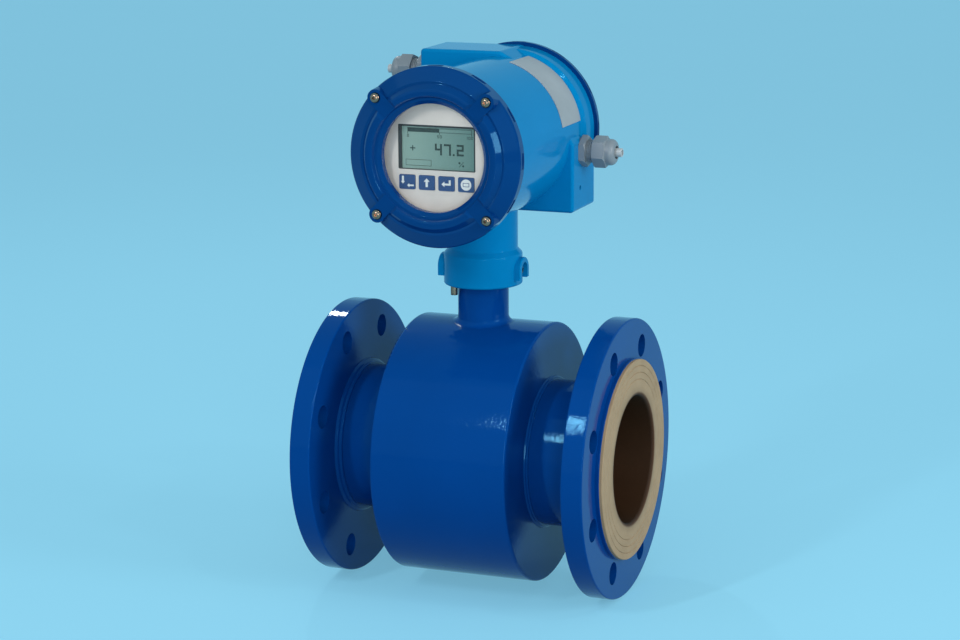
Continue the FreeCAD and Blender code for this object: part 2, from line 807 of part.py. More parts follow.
def collar_and_neck():
    """Collar with its sloped shoulder, and the upper neck that carries the head."""
    side_top = COLLAR_BOTTOM_Z + COLLAR_SIDE_H
    return turned_z([
        (0, COLLAR_BOTTOM_Z),
        (COLLAR_R, COLLAR_BOTTOM_Z, COLLAR_EDGE_R),
        (COLLAR_R, side_top, 2.5),
        (UPPER_NECK_R, COLLAR_TOP_Z, 1.5),
        (UPPER_NECK_R, HEAD_Z - BODY_R / 2),
        (0, HEAD_Z - BODY_R / 2),
    ])


def arch_sketch(width, bottom, spring):
    """Upright arch in the YZ plane: flat foot and a round top."""
    half = width / 2
    base = [FreeCAD.Vector(0, -half, bottom), FreeCAD.Vector(0, half, bottom)]
    tops = [FreeCAD.Vector(0, half, spring), FreeCAD.Vector(0, -half, spring)]
    crown = FreeCAD.Vector(0, 0, spring + half)
    edges = [
        Part.makeLine(base[0], base[1]),
        Part.makeLine(base[1], tops[0]),
        Part.Arc(tops[0], crown, tops[1]).toShape(),
        Part.makeLine(tops[1], base[0]),
    ]
    return Part.Face(Part.Wire(edges))


def right_lug():
    """Arched lug on the side of the collar, with softened outer edges."""
    face = arch_sketch(LUG_WIDTH, COLLAR_BOTTOM_Z + LUG_BOTTOM_H, CLAMP_Z)
    lug = face.extrude(ALONG_X * LUG_REACH)
    edges = [edge for edge in lug.Edges if edge.BoundBox.XMin > LUG_REACH - 0.01]
    return lug.makeFillet(LUG_EDGE_R, edges)


def right_lug_cuts():
    """Arched pocket in the lug's face and the threaded hole behind it."""
    pocket = arch_sketch(LUG_POCKET_WIDTH, COLLAR_BOTTOM_Z, CLAMP_Z)
    pocket = pocket.extrude(ALONG_X * (LUG_REACH - LUG_POCKET_FLOOR + CUT_SPARE))
    pocket = moved(pocket, FreeCAD.Vector(LUG_POCKET_FLOOR, 0, 0))
    hole = rod(SET_SCREW_R + THREAD_GAP, 0, LUG_REACH)
    return [pocket, moved(hole, FreeCAD.Vector(0, 0, CLAMP_Z), TO_RIGHT)]


def housing_shape():
    """Outer form of the head casting before any hollow is cut."""
    lug = right_lug()
    return united([
        housing_outside(),
        corner_block(low_block_sketch()),
        corner_block(high_block_sketch()),
        collar_and_neck(),
        lug,
        mirrored(lug),
    ])


def head_cavities():
    """Hollows in front of and behind the partition wall."""
    ledge_y = HEAD_FRONT_Y + MOUTH_DEPTH
    behind_y = PARTITION_Y + PARTITION_THICK
    mouth = rod(MOUTH_R, HEAD_FRONT_Y - CUT_SPARE, ledge_y)
    front = rod(CAVITY_R, HEAD_FRONT_Y, PARTITION_Y)
    rear = rod(MOUTH_R, behind_y, HEAD_REAR_Y + CUT_SPARE)
    return [moved(piece, HEAD_CENTRE, TO_REAR) for piece in (mouth, front, rear)]


def block_pockets():
    """Hollow corners inside the two blocks."""
    front = BLOCK_FRONT_Y + BLOCK_WALL
    rear = HEAD_REAR_Y - COVER_SCREW_GRIP - BLOCK_WALL
    sketches = [low_block_sketch(BLOCK_WALL), high_block_sketch(BLOCK_WALL)]
    return [head_prism(points, front, rear) for points in sketches]


def collar_bores():
    """Bore for the neck's spigot and the wire way above it."""
    spigot = rod(NECK_R + SWIVEL_GAP, COLLAR_BOTTOM_Z - CUT_SPARE, NECK_TOP_Z)
    wire_way = rod(UPPER_NECK_BORE_R, COLLAR_BOTTOM_Z, HEAD_Z)
    return [spigot, wire_way]


def right_gland_spot():
    """Centre of the right gland's seat on the lower block."""
    return FreeCAD.Vector(BLOCK_SIDE_X, RIGHT_GLAND_Y, HEAD_Z - RIGHT_GLAND_DROP)


def left_gland_spot():
    """Centre of the left gland's seat on the upper block."""
    return FreeCAD.Vector(-BLOCK_SIDE_X, LEFT_GLAND_Y, HEAD_Z + LEFT_GLAND_RISE)


def gland_holes():
    """Threaded entries for the two glands and the small blind hole near one."""
    entry = rod(GLAND_THREAD_R + THREAD_GAP, -BLOCK_WALL - CUT_SPARE, CUT_SPARE)
    blind = rod(BLIND_HOLE_R, -BLIND_HOLE_DEPTH, CUT_SPARE)
    blind_spot = FreeCAD.Vector(BLOCK_SIDE_X, BLIND_HOLE_Y, HEAD_Z - BLIND_HOLE_DROP)
    return [
        moved(entry, right_gland_spot(), TO_RIGHT),
        moved(entry, left_gland_spot(), TO_LEFT),
        moved(blind, blind_spot, TO_RIGHT),
    ]


def screw_places(shape, circle_r):
    """One copy of a shape at each screw of a cover."""
    first = moved(shape, FreeCAD.Vector(circle_r, 0, 0))
    return circled(first, COVER_SCREW_COUNT, ARM_ANGLE)


def cover_screw_holes():
    """Tapped holes for both covers."""
    hole = rod(COVER_SCREW_R + THREAD_GAP, -COVER_SCREW_GRIP - TAP_SPARE, CUT_SPARE)
    front = Part.makeCompound(screw_places(hole, COVER_SCREW_CIRCLE_R))
    rear = Part.makeCompound(screw_places(hole, REAR_SCREW_CIRCLE_R))
    return [on_front(front), on_rear(rear)]


def earth_screw_spot():
    """Where the earth screw enters the collar's underside."""
    angle = math.radians(EARTH_SCREW_ANGLE)
    x = EARTH_SCREW_OFFSET * math.cos(angle)
    y = EARTH_SCREW_OFFSET * math.sin(angle)
    return FreeCAD.Vector(x, y, COLLAR_BOTTOM_Z)


def earth_screw_hole():
    """Tapped hole in the underside of the collar."""
    hole = rod(EARTH_SCREW_R + THREAD_GAP, -CUT_SPARE, EARTH_SCREW_GRIP + TAP_SPARE)
    return moved(hole, earth_screw_spot())


def converter_housing():
    """The head casting: body, corner blocks, upper neck, collar and lugs in one."""
    lug_cuts = right_lug_cuts()
    cuts = head_cavities() + block_pockets() + collar_bores() + gland_holes()
    cuts = cuts + cover_screw_holes() + lug_cuts + [mirrored(cut) for cut in lug_cuts]
    return housing_shape().cut(cuts + [earth_screw_hole()])


# ---- Screws ----
def right_set_screw():
    """Clamp screw with a cone point at the neck and a hexagon socket outside."""
    tip = CLAMP_FLOOR_R + 2 * BOND_GAP
    body = turned_z([
        (0, tip),
        (SET_SCREW_R - 1.6, tip),
        (SET_SCREW_R, tip + 1.6),
        (SET_SCREW_R, SET_SCREW_END, 0.4),
        (0, SET_SCREW_END),
    ])
    socket = hexagon(SET_SCREW_SOCKET_R * math.sqrt(3), SET_SCREW_SOCKET_DEPTH + CUT_SPARE)
    body = body.cut(moved(socket, FreeCAD.Vector(0, 0, SET_SCREW_END - SET_SCREW_SOCKET_DEPTH)))
    return moved(body, FreeCAD.Vector(0, 0, CLAMP_Z), TO_RIGHT)


def earth_screw():
    """Slotted screw that stands down from the collar beside the neck."""
    screw = turned_z([
        (0, -EARTH_SCREW_HEAD_H),
        (EARTH_SCREW_HEAD_R, -EARTH_SCREW_HEAD_H, 0.4),
        (EARTH_SCREW_HEAD_R, 0),
        (EARTH_SCREW_R, 0),
        (EARTH_SCREW_R, EARTH_SCREW_GRIP),
        (0, EARTH_SCREW_GRIP),
    ])
    slot = slab(rectangle(0.9, 4 * EARTH_SCREW_HEAD_R, 0), 1.5 + CUT_SPARE)
    screw = screw.cut(moved(slot, FreeCAD.Vector(0, 0, -EARTH_SCREW_HEAD_H - CUT_SPARE)))
    return moved(screw, earth_screw_spot())


def cover_screws(seat, circle_r):
    """The domed socket screws of one cover, their heads seated at a height."""
    crown = seat + SCREW_HEAD_H
    screw = turned_z([
        (0, -COVER_SCREW_GRIP),
        (COVER_SCREW_R, -COVER_SCREW_GRIP),
        (COVER_SCREW_R, seat),
        (SCREW_HEAD_R, seat),
        (SCREW_HEAD_R, crown - 1.6, 1.0),
        (SCREW_HEAD_R * 0.6, crown - 0.3, 2.0),
        (0, crown),
    ])
    socket = hexagon(SCREW_SOCKET_R * math.sqrt(3), CUT_SPARE)
    screw = screw.cut(moved(socket, FreeCAD.Vector(0, 0, crown - SCREW_SOCKET_DEPTH)))
    return Part.makeCompound(screw_places(screw, circle_r))


# ---- Covers ----
def bevel_radius(height):
    """Radius of the arcs' outer bevel at a height."""
    lean = (COVER_GROOVE_R - ARC_OUTER_R) / (ARC_H - COVER_GROOVE_H)
    return COVER_GROOVE_R - lean * (height - COVER_GROOVE_H)


def front_outer_profile():
    """Rim, conical skirt, groove and face of the front cover, from rim to face."""
    return [
        (COVER_R, 0),
        (COVER_R, COVER_RIM_H, 0.5),
        (COVER_SHOULDER_R, COVER_SHOULDER_H, 0.6),
        (COVER_SKIRT_R, COVER_SKIRT_H, 0.5),
        (COVER_GROOVE_R, COVER_GROOVE_H, 0.3),
        (bevel_radius(COVER_FACE_H), COVER_FACE_H, 0.4),
    ]


def rear_outer_profile():
    """Rim and bevel of the rear cover, from rim to face."""
    return [
        (REAR_RIM_R, 0),
        (REAR_RIM_R, REAR_RIM_H, 0.6),
        (REAR_FACE_R, REAR_FACE_H, 0.6),
    ]


def spigot_profile():
    """Spigot with its seal groove, from its inner mouth back to the rim."""
    inner = SPIGOT_R - SPIGOT_WALL
    half = COVER_SEAL_SECTION_R + LOOSE_GAP
    floor = MOUTH_R - 2 * COVER_SEAL_SECTION_R - LOOSE_GAP
    return [
        (inner, -SPIGOT_LENGTH),
        (SPIGOT_R, -SPIGOT_LENGTH),
        (SPIGOT_R, -COVER_SEAL_BACK - half),
        (floor, -COVER_SEAL_BACK - half),
        (floor, -COVER_SEAL_BACK + half),
        (SPIGOT_R, -COVER_SEAL_BACK + half),
        (SPIGOT_R, 0),
    ]


def window_profile():
    """Window opening, glass seat and hollow back of the front cover."""
    seat = GLASS_BACK_H + GLASS_THICK + GASKET_THICK
    return [
        (WINDOW_MOUTH_R, COVER_FACE_H, 0.4),
        (WINDOW_R, WINDOW_CHAMFER_H, 0.4),
        (WINDOW_R, seat),
        (GLASS_R + BOND_GAP, seat),
        (GLASS_R + BOND_GAP, GLASS_BACK_H),
        (SPIGOT_R - SPIGOT_WALL, GLASS_BACK_H),
    ]


def blind_profile():
    """Closed middle of the rear cover."""
    inside = REAR_FACE_H - REAR_COVER_WALL
    return [(0, REAR_FACE_H), (0, inside), (SPIGOT_R - SPIGOT_WALL, inside, 2.0)]


def raised_ring():
    """Full raised ring that the arms divide into arcs."""
    root = COVER_FACE_H - 0.8
    middle = (ARC_OUTER_R + ARC_INNER_R) / 2
    return turned_z([
        (ARC_ROOT_R, root),
        (bevel_radius(root), root),
        (ARC_OUTER_R, ARC_H, ARC_EDGE_R),
        (middle, ARC_H + ARC_CROWN_RISE, ARC_CROWN_R),
        (ARC_INNER_R, ARC_H, ARC_EDGE_R),
        (ARC_ROOT_R, COVER_FACE_H),
    ])


def arm_gap():
    """Ramped gap cut through the raised ring above one arm."""
    half = ARM_WIDTH / 2
    rise = ARC_H + ARC_CROWN_RISE - ARM_H + 1
    section = [(-half, 0), (half, 0), (half + rise, rise), (-half - rise, rise)]
    wire = outline(section, in_side_plane)
    gap = Part.Face(wire).extrude(ALONG_X * (ARC_OUTER_R - ARC_ROOT_R + 2 * CUT_SPARE))
    return moved(gap, FreeCAD.Vector(ARC_ROOT_R - CUT_SPARE, 0, ARM_H))


def arm_and_ear():
    """Flat arm that runs out from the ring to a round ear for one screw."""
    draft = EAR_BASE_R - EAR_R
    root = ARM_ROOT_H
    height = ARM_H - root
    half = ARM_WIDTH / 2
    section = [(-half - draft, 0), (half + draft, 0), (half, height), (-half, height)]
    length = COVER_SCREW_CIRCLE_R - ARC_INNER_R
    arm = Part.Face(outline(section, in_side_plane)).extrude(ALONG_X * length)
    arm = moved(arm, FreeCAD.Vector(ARC_INNER_R, 0, root))
    ear_spot = FreeCAD.Vector(COVER_SCREW_CIRCLE_R, 0, root)
    ear = Part.makeCone(EAR_BASE_R, EAR_R, height, ear_spot)
    return united([arm, ear]).common(rod(COVER_R, 0, ARM_H))


def screw_wells(top, radius, depth, circle_r):
    """Clearance holes with round pockets for the screws of one cover."""
    hole = rod(COVER_SCREW_R + LOOSE_GAP, -CUT_SPARE, top + CUT_SPARE)
    well = hole.fuse(rod(radius, top - depth, top + CUT_SPARE))
    return screw_places(well, circle_r)


def rim_notches(rim_r, rim_h):
    """Shallow grip notches round a cover's rim."""
    height = rim_h - 2 * RIM_NOTCH_START
    notch = slab(rectangle(2 * RIM_NOTCH_DEPTH, RIM_NOTCH_WIDTH, 0), height)
    return circled(moved(notch, FreeCAD.Vector(rim_r, 0, RIM_NOTCH_START)), RIM_NOTCH_COUNT)


def front_cover():
    """Window cover with raised arcs between four arms that end in screw ears."""
    base = turned_z(front_outer_profile() + window_profile() + spigot_profile())
    arcs = raised_ring().cut(circled(arm_gap(), COVER_SCREW_COUNT, ARM_ANGLE))
    arms = circled(arm_and_ear(), COVER_SCREW_COUNT, ARM_ANGLE)
    wells = screw_wells(ARM_H, SCREW_POCKET_R, SCREW_POCKET_DEPTH, COVER_SCREW_CIRCLE_R)
    shape = united([base, arcs] + arms)
    return shape.cut(rim_notches(COVER_R, COVER_RIM_H) + wells)


def rear_cover():
    """Plain closed cover with its screws sunk in round pockets."""
    base = turned_z(rear_outer_profile() + blind_profile() + spigot_profile())
    wells = screw_wells(REAR_FACE_H, REAR_POCKET_R, REAR_POCKET_DEPTH, REAR_SCREW_CIRCLE_R)
    return base.cut(rim_notches(REAR_RIM_R, REAR_RIM_H) + wells)


def cover_seal():
    """O-ring in a cover's spigot, in the cover's own frame."""
    radius = MOUTH_R - BOND_GAP - COVER_SEAL_SECTION_R
    torus = Part.makeTorus(radius, COVER_SEAL_SECTION_R)
    return moved(torus, FreeCAD.Vector(0, 0, -COVER_SEAL_BACK))


def window_glass():
    """Round pane behind the window opening."""
    return rod(GLASS_R, GLASS_BACK_H, GLASS_BACK_H + GLASS_THICK)


def window_gasket():
    """Flat gasket between the pane and the cover's lip."""
    bottom = GLASS_BACK_H + GLASS_THICK
    return ring(GLASS_R, GLASS_R - GASKET_WIDTH, bottom, bottom + GASKET_THICK)


# ---- Display ----
def key_spots():
    """Centres of the key row."""
    first = KEY_ROW_X - KEY_PITCH * (KEY_COUNT - 1) / 2
    return [FreeCAD.Vector(first + KEY_PITCH * n, KEY_ROW_Y, 0) for n in range(KEY_COUNT)]


def key_openings(gap, ledge, bottom, top):
    """Openings for the row of keys."""
    width = KEY_WIDTH + 2 * (gap + ledge)
    height = KEY_HEIGHT + 2 * (gap + ledge)
    opening = slab(rectangle(width, height, KEY_CORNER_R), top - bottom)
    lift = FreeCAD.Vector(0, 0, bottom)
    return [moved(opening, spot + lift) for spot in key_spots()]


def bezel_block(gap, bottom, top):
    """Solid of the display bezel's outline, grown by a gap."""
    width = BEZEL_WIDTH + 2 * gap
    height = BEZEL_HEIGHT + 2 * gap
    sketch = rectangle(width, height, 1.0, BEZEL_CENTRE_X, BEZEL_CENTRE_Y)
    return moved(slab(sketch, top - bottom), FreeCAD.Vector(0, 0, bottom))


def faceplate():
    """Round plate with openings for the bezel and the keys."""
    plate = turned_z([
        (0, FACEPLATE_BACK_H),
        (FACEPLATE_R, FACEPLATE_BACK_H),
        (FACEPLATE_R, FACEPLATE_FRONT_H),
        (0, FACEPLATE_FRONT_H),
    ])
    low = FACEPLATE_BACK_H - CUT_SPARE
    high = FACEPLATE_FRONT_H + CUT_SPARE
    openings = key_openings(LOOSE_GAP, 0, low, high)
    return plate.cut(openings + [bezel_block(BOND_GAP, low, high)])


def lcd_bezel():
    """Frame round the display window."""
    top = FACEPLATE_BACK_H + BEZEL_THICK
    frame = bezel_block(0, FACEPLATE_BACK_H, top)
    window = slab(rectangle(LCD_WIDTH, LCD_HEIGHT, 0.6, LCD_CENTRE_X, LCD_CENTRE_Y), 4 * BEZEL_THICK)
    return frame.cut(moved(window, FreeCAD.Vector(0, 0, FACEPLATE_BACK_H - BEZEL_THICK)))


def lcd_block(gap, top):
    """Solid of the display panel's outline, grown by a gap."""
    width = BEZEL_WIDTH - 2 * LCD_PANEL_MARGIN / 3 + 2 * gap
    height = BEZEL_HEIGHT - 2 * LCD_PANEL_MARGIN / 3 + 2 * gap
    depth = LCD_PANEL_THICK + gap
    panel = slab(rectangle(width, height, 0, BEZEL_CENTRE_X, BEZEL_CENTRE_Y), depth)
    return moved(panel, FreeCAD.Vector(0, 0, top - depth))


def lcd_panel():
    """Glass display panel behind the bezel."""
    return lcd_block(0, FACEPLATE_BACK_H)


def display_carrier():
    """Moulded carrier that holds panel, keys and board behind the faceplate."""
    hollow_r = FACEPLATE_R - CARRIER_WALL
    foot_r = MOUTH_R - LOOSE_GAP
    foot_top = CARRIER_BACK_H + CARRIER_FOOT_THICK
    front_back = FACEPLATE_BACK_H - CARRIER_FRONT_WALL
    carrier = turned_z([
        (0, front_back),
        (hollow_r, front_back),
        (hollow_r, CARRIER_BACK_H),
        (foot_r, CARRIER_BACK_H),
        (foot_r, foot_top),
        (FACEPLATE_R, foot_top),
        (FACEPLATE_R, FACEPLATE_BACK_H),
        (0, FACEPLATE_BACK_H),
    ])
    wells = key_openings(LOOSE_GAP, KEY_LEDGE, front_back - 1, FACEPLATE_BACK_H + 1)
    return carrier.cut(wells + [lcd_block(LOOSE_GAP, FACEPLATE_BACK_H)])


def key(spot):
    """Sprung key: cap through the faceplate, ledge behind it and a stem to its switch."""
    cap_top = FACEPLATE_FRONT_H + KEY_PROUD
    ledge_width = KEY_WIDTH + 2 * KEY_LEDGE
    ledge_height = KEY_HEIGHT + 2 * KEY_LEDGE
    cap = slab(rectangle(KEY_WIDTH, KEY_HEIGHT, KEY_CORNER_R), cap_top - FACEPLATE_BACK_H)
    cap = moved(cap, FreeCAD.Vector(0, 0, FACEPLATE_BACK_H))
    ledge = slab(rectangle(ledge_width, ledge_height, KEY_CORNER_R), KEY_LEDGE_THICK)
    ledge_bottom = FACEPLATE_BACK_H - KEY_LEDGE_THICK
    ledge = moved(ledge, FreeCAD.Vector(0, 0, ledge_bottom))
    stem = rod(KEY_STEM_R, switch_top() + KEY_TRAVEL + BOND_GAP, ledge_bottom + 0.1)
    return moved(united([cap, ledge, stem]), spot)


def board_top():
    """Front surface of the display board."""
    return CARRIER_BACK_H + BOARD_SETBACK + DISPLAY_BOARD_THICK


def switch_top():
    """Front of the key switches."""
    return board_top() + SWITCH_H


def display_board():
    """Round board behind the panel, with one switch under each key."""
    board = rod(FACEPLATE_R - CARRIER_WALL - LOOSE_GAP, board_top() - DISPLAY_BOARD_THICK, board_top())
    switch = slab(rectangle(SWITCH_SIZE, SWITCH_SIZE, 0), SWITCH_H + 0.2)
    lift = FreeCAD.Vector(0, 0, board_top() - 0.2)
    return united([board] + [moved(switch, spot + lift) for spot in key_spots()])


# ---- Electronics ----
def box_at(size, x, y, z):
    """Box with a centre in X and Z, and its front at Y."""
    width, height, depth = size
    return Part.makeBox(width, depth, height, FreeCAD.Vector(x - width / 2, y, z - height / 2))


def electronics_board():
    """Round main board with a plug socket and a few large components."""
    board = moved(rod(BOARD_R, BOARD_Y, BOARD_BACK_Y), HEAD_CENTRE, TO_REAR)
    plug_y = BOARD_BACK_Y - SOLDER_SINK
    socket = box_at(PLUG_SIZE, 0, plug_y, cable_exit_z())
    across, up = [share * PILLAR_OFFSET for share in MEMORY_SHARES]
    memory = box_at(MEMORY_SIZE, across, plug_y, HEAD_Z + up)
    across, up = [share * PILLAR_OFFSET for share in CAPACITOR_SHARES]
    capacitor = rod(CAPACITOR_R, 0, CAPACITOR_LENGTH)
    spot = FreeCAD.Vector(across, plug_y, HEAD_Z + up)
    return united([board, socket, memory, moved(capacitor, spot, TO_REAR)])


def board_pillars():
    """Hexagon pillars between the partition wall and the main board."""
    pillar = hexagon(PILLAR_FLATS, PARTITION_Y - BOARD_BACK_Y)
    first = moved(pillar, FreeCAD.Vector(PILLAR_CIRCLE_R, 0, BOARD_BACK_Y))
    pillars = Part.makeCompound(circled(first, PILLAR_COUNT, ARM_ANGLE))
    return moved(pillars, HEAD_CENTRE, TO_REAR)


def power_supply():
    """Potted supply block on the front of the partition wall."""
    size = (SUPPLY_WIDTH, SUPPLY_HEIGHT, SUPPLY_DEPTH)
    return box_at(size, 0, PARTITION_Y - SUPPLY_DEPTH, HEAD_Z + SUPPLY_RISE)


def terminal_block():
    """Row of screw terminals on the back of the partition wall."""
    length = TERMINAL_WAYS * TERMINAL_PITCH
    back = PARTITION_Y + PARTITION_THICK
    step = TERMINAL_HEIGHT * 0.45
    side = [
        (back, 0),
        (back + TERMINAL_DEPTH * 0.7, 0),
        (back + TERMINAL_DEPTH * 0.7, step),
        (back + TERMINAL_DEPTH, step),
        (back + TERMINAL_DEPTH, TERMINAL_HEIGHT),
        (back, TERMINAL_HEIGHT),
    ]
    block = Part.Face(outline(side, in_side_plane)).extrude(ALONG_X * length)
    block = moved(block, FreeCAD.Vector(-length / 2, 0, HEAD_Z - TERMINAL_HEIGHT / 2))
    face_y = back + TERMINAL_DEPTH
    screw_z = HEAD_Z + TERMINAL_HEIGHT * 0.22
    holes = []
    for way in range(TERMINAL_WAYS):
        x = (way - (TERMINAL_WAYS - 1) / 2) * TERMINAL_PITCH
        start = FreeCAD.Vector(x, face_y - 4.0, screw_z)
        holes.append(Part.makeCylinder(TERMINAL_PITCH * 0.3, 4.0 + CUT_SPARE, start, ALONG_Y))
    return block.cut(holes)


def cable_exit_z():
    """Height at which the signal cable leaves the neck for the main board."""
    return HEAD_Z - CAVITY_R + CABLE_BEND_R + CABLE_R + 4.0


def signal_cable():
    """Cable from the coil terminals up the neck and forward to the main board."""
    bottom = YOKE_R + TERMINAL_STRIP[2]
    bend_bottom = cable_exit_z() - CABLE_BEND_R
    plug_back = BOARD_BACK_Y - SOLDER_SINK + PLUG_SIZE[2]
    start = FreeCAD.Vector(0, 0, bottom)
    bend_start = FreeCAD.Vector(0, 0, bend_bottom)
    bend_end = FreeCAD.Vector(0, -CABLE_BEND_R, cable_exit_z())
    lean = CABLE_BEND_R * (1 - math.sqrt(0.5))
    middle = FreeCAD.Vector(0, -lean, cable_exit_z() - lean)
    end = FreeCAD.Vector(0, plug_back, cable_exit_z())
    path = Part.Wire([
        Part.makeLine(start, bend_start),
        Part.Arc(bend_start, middle, bend_end).toShape(),
        Part.makeLine(bend_end, end),
    ])
    section = Part.Wire(Part.makeCircle(CABLE_R, start, ALONG_Z))
    return path.makePipeShell([section], True, False)


# ---- Cable glands ----
def gland_ring_cuts():
    """Grooves of the coarse thread that shows between the base and the nut."""
    count = int((GLAND_NUT_START - GLAND_HEX_THICK) / GLAND_RING_PITCH)
    floor = GLAND_COLLAR_R - GLAND_RING_DEPTH
    cuts = []
    for turn in range(count):
        bottom = GLAND_HEX_THICK + GLAND_RING_PITCH * (turn + 0.5)
        cuts.append(ring(GLAND_COLLAR_R + CUT_SPARE, floor, bottom, bottom + GLAND_RING_PITCH / 2))
    return cuts


def gland_body():
    """Hexagon base with its thread in the housing and the collar under the nut."""
    base = hexagon(GLAND_FLATS, GLAND_HEX_THICK)
    cap_r = GLAND_FLATS / math.sqrt(3)
    bevel = turned_z([
        (0, 0),
        (cap_r - 0.6, 0),
        (cap_r, 0.5),
        (cap_r, GLAND_HEX_THICK - 1.0),
        (cap_r - 1.4, GLAND_HEX_THICK),
        (0, GLAND_HEX_THICK),
    ])
    thread = rod(GLAND_THREAD_R, -GLAND_THREAD_LENGTH, 0.5)
    collar = rod(GLAND_COLLAR_R, GLAND_HEX_THICK - 0.5, GLAND_COLLAR_END)
    body = united([base.common(bevel), thread, collar])
    bore = rod(GLAND_BORE_R, -CUT_SPARE - GLAND_THREAD_LENGTH, GLAND_COLLAR_END + 1)
    return body.cut([bore] + gland_ring_cuts())


def gland_nut():
    """Hexagon nut that runs into a smooth dome with a round mouth."""
    radius = GLAND_FLATS / math.sqrt(3)
    dome_r = GLAND_FLATS / 2 - 0.6
    blank = turned_z([
        (0, GLAND_NUT_START),
        (radius - 0.8, GLAND_NUT_START),
        (radius, GLAND_NUT_START + 0.8),
        (radius, GLAND_NUT_FLATS_END - 1.2),
        (dome_r, GLAND_NUT_FLATS_END),
        (dome_r, GLAND_NUT_END, 4.5),
        (0, GLAND_NUT_END),
    ])
    sides = moved(hexagon(GLAND_FLATS, GLAND_NUT_END), FreeCAD.Vector(0, 0, GLAND_NUT_START))
    inside = turned_z([
        (0, GLAND_NUT_START - 1),
        (GLAND_COLLAR_R + THREAD_GAP, GLAND_NUT_START - 1),
        (GLAND_COLLAR_R + THREAD_GAP, GLAND_COLLAR_END + 1),
        (GLAND_MOUTH_R, GLAND_NUT_END - 2.5),
        (GLAND_MOUTH_R, GLAND_NUT_END + 1),
        (0, GLAND_NUT_END + 1),
    ])
    return spun(blank.common(sides).cut(inside), GLAND_NUT_TURN)


def gland_seal():
    """Rubber sleeve that grips the pin inside the gland."""
    start = GLAND_NUT_START - 1.5
    return ring(GLAND_BORE_R - BOND_GAP, GLAND_PIN_R + BOND_GAP, start, start + GLAND_SEAL_LENGTH)


def gland_plug():
    """Hollow-ended pin that closes the unused gland."""
    end = GLAND_NUT_END + GLAND_PIN_OUT
    pin = turned_z([
        (0, GLAND_HEX_THICK),
        (GLAND_PIN_R, GLAND_HEX_THICK),
        (GLAND_PIN_R, end, 0.4),
        (0, end),
    ])
    return pin.cut(rod(GLAND_PIN_R * 0.62, end - 3.0, end + 1))


# ---- Plate ----
def name_plate():
    """Thin blank plate wrapped on the upper right of the head."""
    inner = BODY_R + BOND_GAP
    outer = inner + PLATE_THICK
    face = Part.Face(outline([
        (inner, PLATE_FRONT_Y),
        (outer, PLATE_FRONT_Y),
        (outer, PLATE_REAR_Y),
        (inner, PLATE_REAR_Y),
    ], in_floor_plane))
    face.rotate(ORIGIN, ALONG_Y, -PLATE_LOW_ANGLE)
    plate = face.revolve(ORIGIN, ALONG_Y, -(PLATE_HIGH_ANGLE - PLATE_LOW_ANGLE))
    return moved(plate, HEAD_CENTRE)


# ---- All pieces ----
def flow_line_pieces():
    """Everything welded or bolted to the pipe."""
    nut = electrode_nut()
    flange = right_flange()
    drum_end = right_drum_end()
    return {
        "measuring_tube": measuring_tube(),
        "liner": liner(),
        "right_flange": flange,
        "left_flange": mirrored(flange),
        "drum_shell": drum_shell(),
        "right_drum_end": drum_end,
        "left_drum_end": mirrored(drum_end),
        "upper_pole_shoe": upper_pole_shoe(),
        "lower_pole_shoe": below(upper_pole_shoe()),
        "upper_core": upper_core(),
        "lower_core": below(upper_core()),
        "upper_coil": upper_coil(),
        "lower_coil": below(upper_coil()),
        "yoke_ring": yoke_ring(),
        "front_electrode": moved(electrode(), ORIGIN, TO_FRONT),
        "rear_electrode": moved(electrode(), ORIGIN, TO_REAR),
        "front_electrode_bush": moved(electrode_bush(), ORIGIN, TO_FRONT),
        "rear_electrode_bush": moved(electrode_bush(), ORIGIN, TO_REAR),
        "electrode_nuts": across_y(nut),
        "coil_terminal_strip": coil_terminal_strip(),
        "neck_tube": neck_tube(),
        "neck_seal": neck_seal(),
    }


def head_pieces():
    """The casting, its covers and what hangs on it."""
    set_screw = right_set_screw()
    front_seat = ARM_H - SCREW_POCKET_DEPTH
    rear_seat = REAR_FACE_H - REAR_POCKET_DEPTH
    return {
        "converter_housing": converter_housing(),
        "set_screws": Part.makeCompound([set_screw, mirrored(set_screw)]),
        "earth_screw": earth_screw(),
        "front_cover": on_front(front_cover()),
        "front_cover_seal": on_front(cover_seal()),
        "front_cover_screws": on_front(cover_screws(front_seat, COVER_SCREW_CIRCLE_R)),
        "window_glass": on_front(window_glass()),
        "window_gasket": on_front(window_gasket()),
        "rear_cover": on_rear(rear_cover()),
        "rear_cover_seal": on_rear(cover_seal()),
        "rear_cover_screws": on_rear(cover_screws(rear_seat, REAR_SCREW_CIRCLE_R)),
        "name_plate": name_plate(),
    }


def inner_pieces():
    """The display and the electronics inside the head."""
    pieces = {
        "faceplate": on_front(faceplate()),
        "lcd_bezel": on_front(lcd_bezel()),
        "lcd_panel": on_front(lcd_panel()),
        "display_carrier": on_front(display_carrier()),
        "display_board": on_front(display_board()),
        "electronics_board": electronics_board(),
        "board_pillars": board_pillars(),
        "power_supply": power_supply(),
        "terminal_block": terminal_block(),
        "signal_cable": signal_cable(),
    }
    for number, spot in enumerate(key_spots(), 1):
        pieces["key_" + str(number)] = on_front(key(spot))
    return pieces


def gland_pieces():
    """Both cable glands with their plugs."""
    parts = {
        "gland_body": gland_body(),
        "gland_nut": gland_nut(),
        "gland_seal": gland_seal(),
        "gland_plug": gland_plug(),
    }
    pieces = {}
    for name, shape in parts.items():
        pieces["right_" + name] = moved(shape, right_gland_spot(), TO_RIGHT)
        pieces["left_" + name] = moved(shape, left_gland_spot(), TO_LEFT)
    return pieces


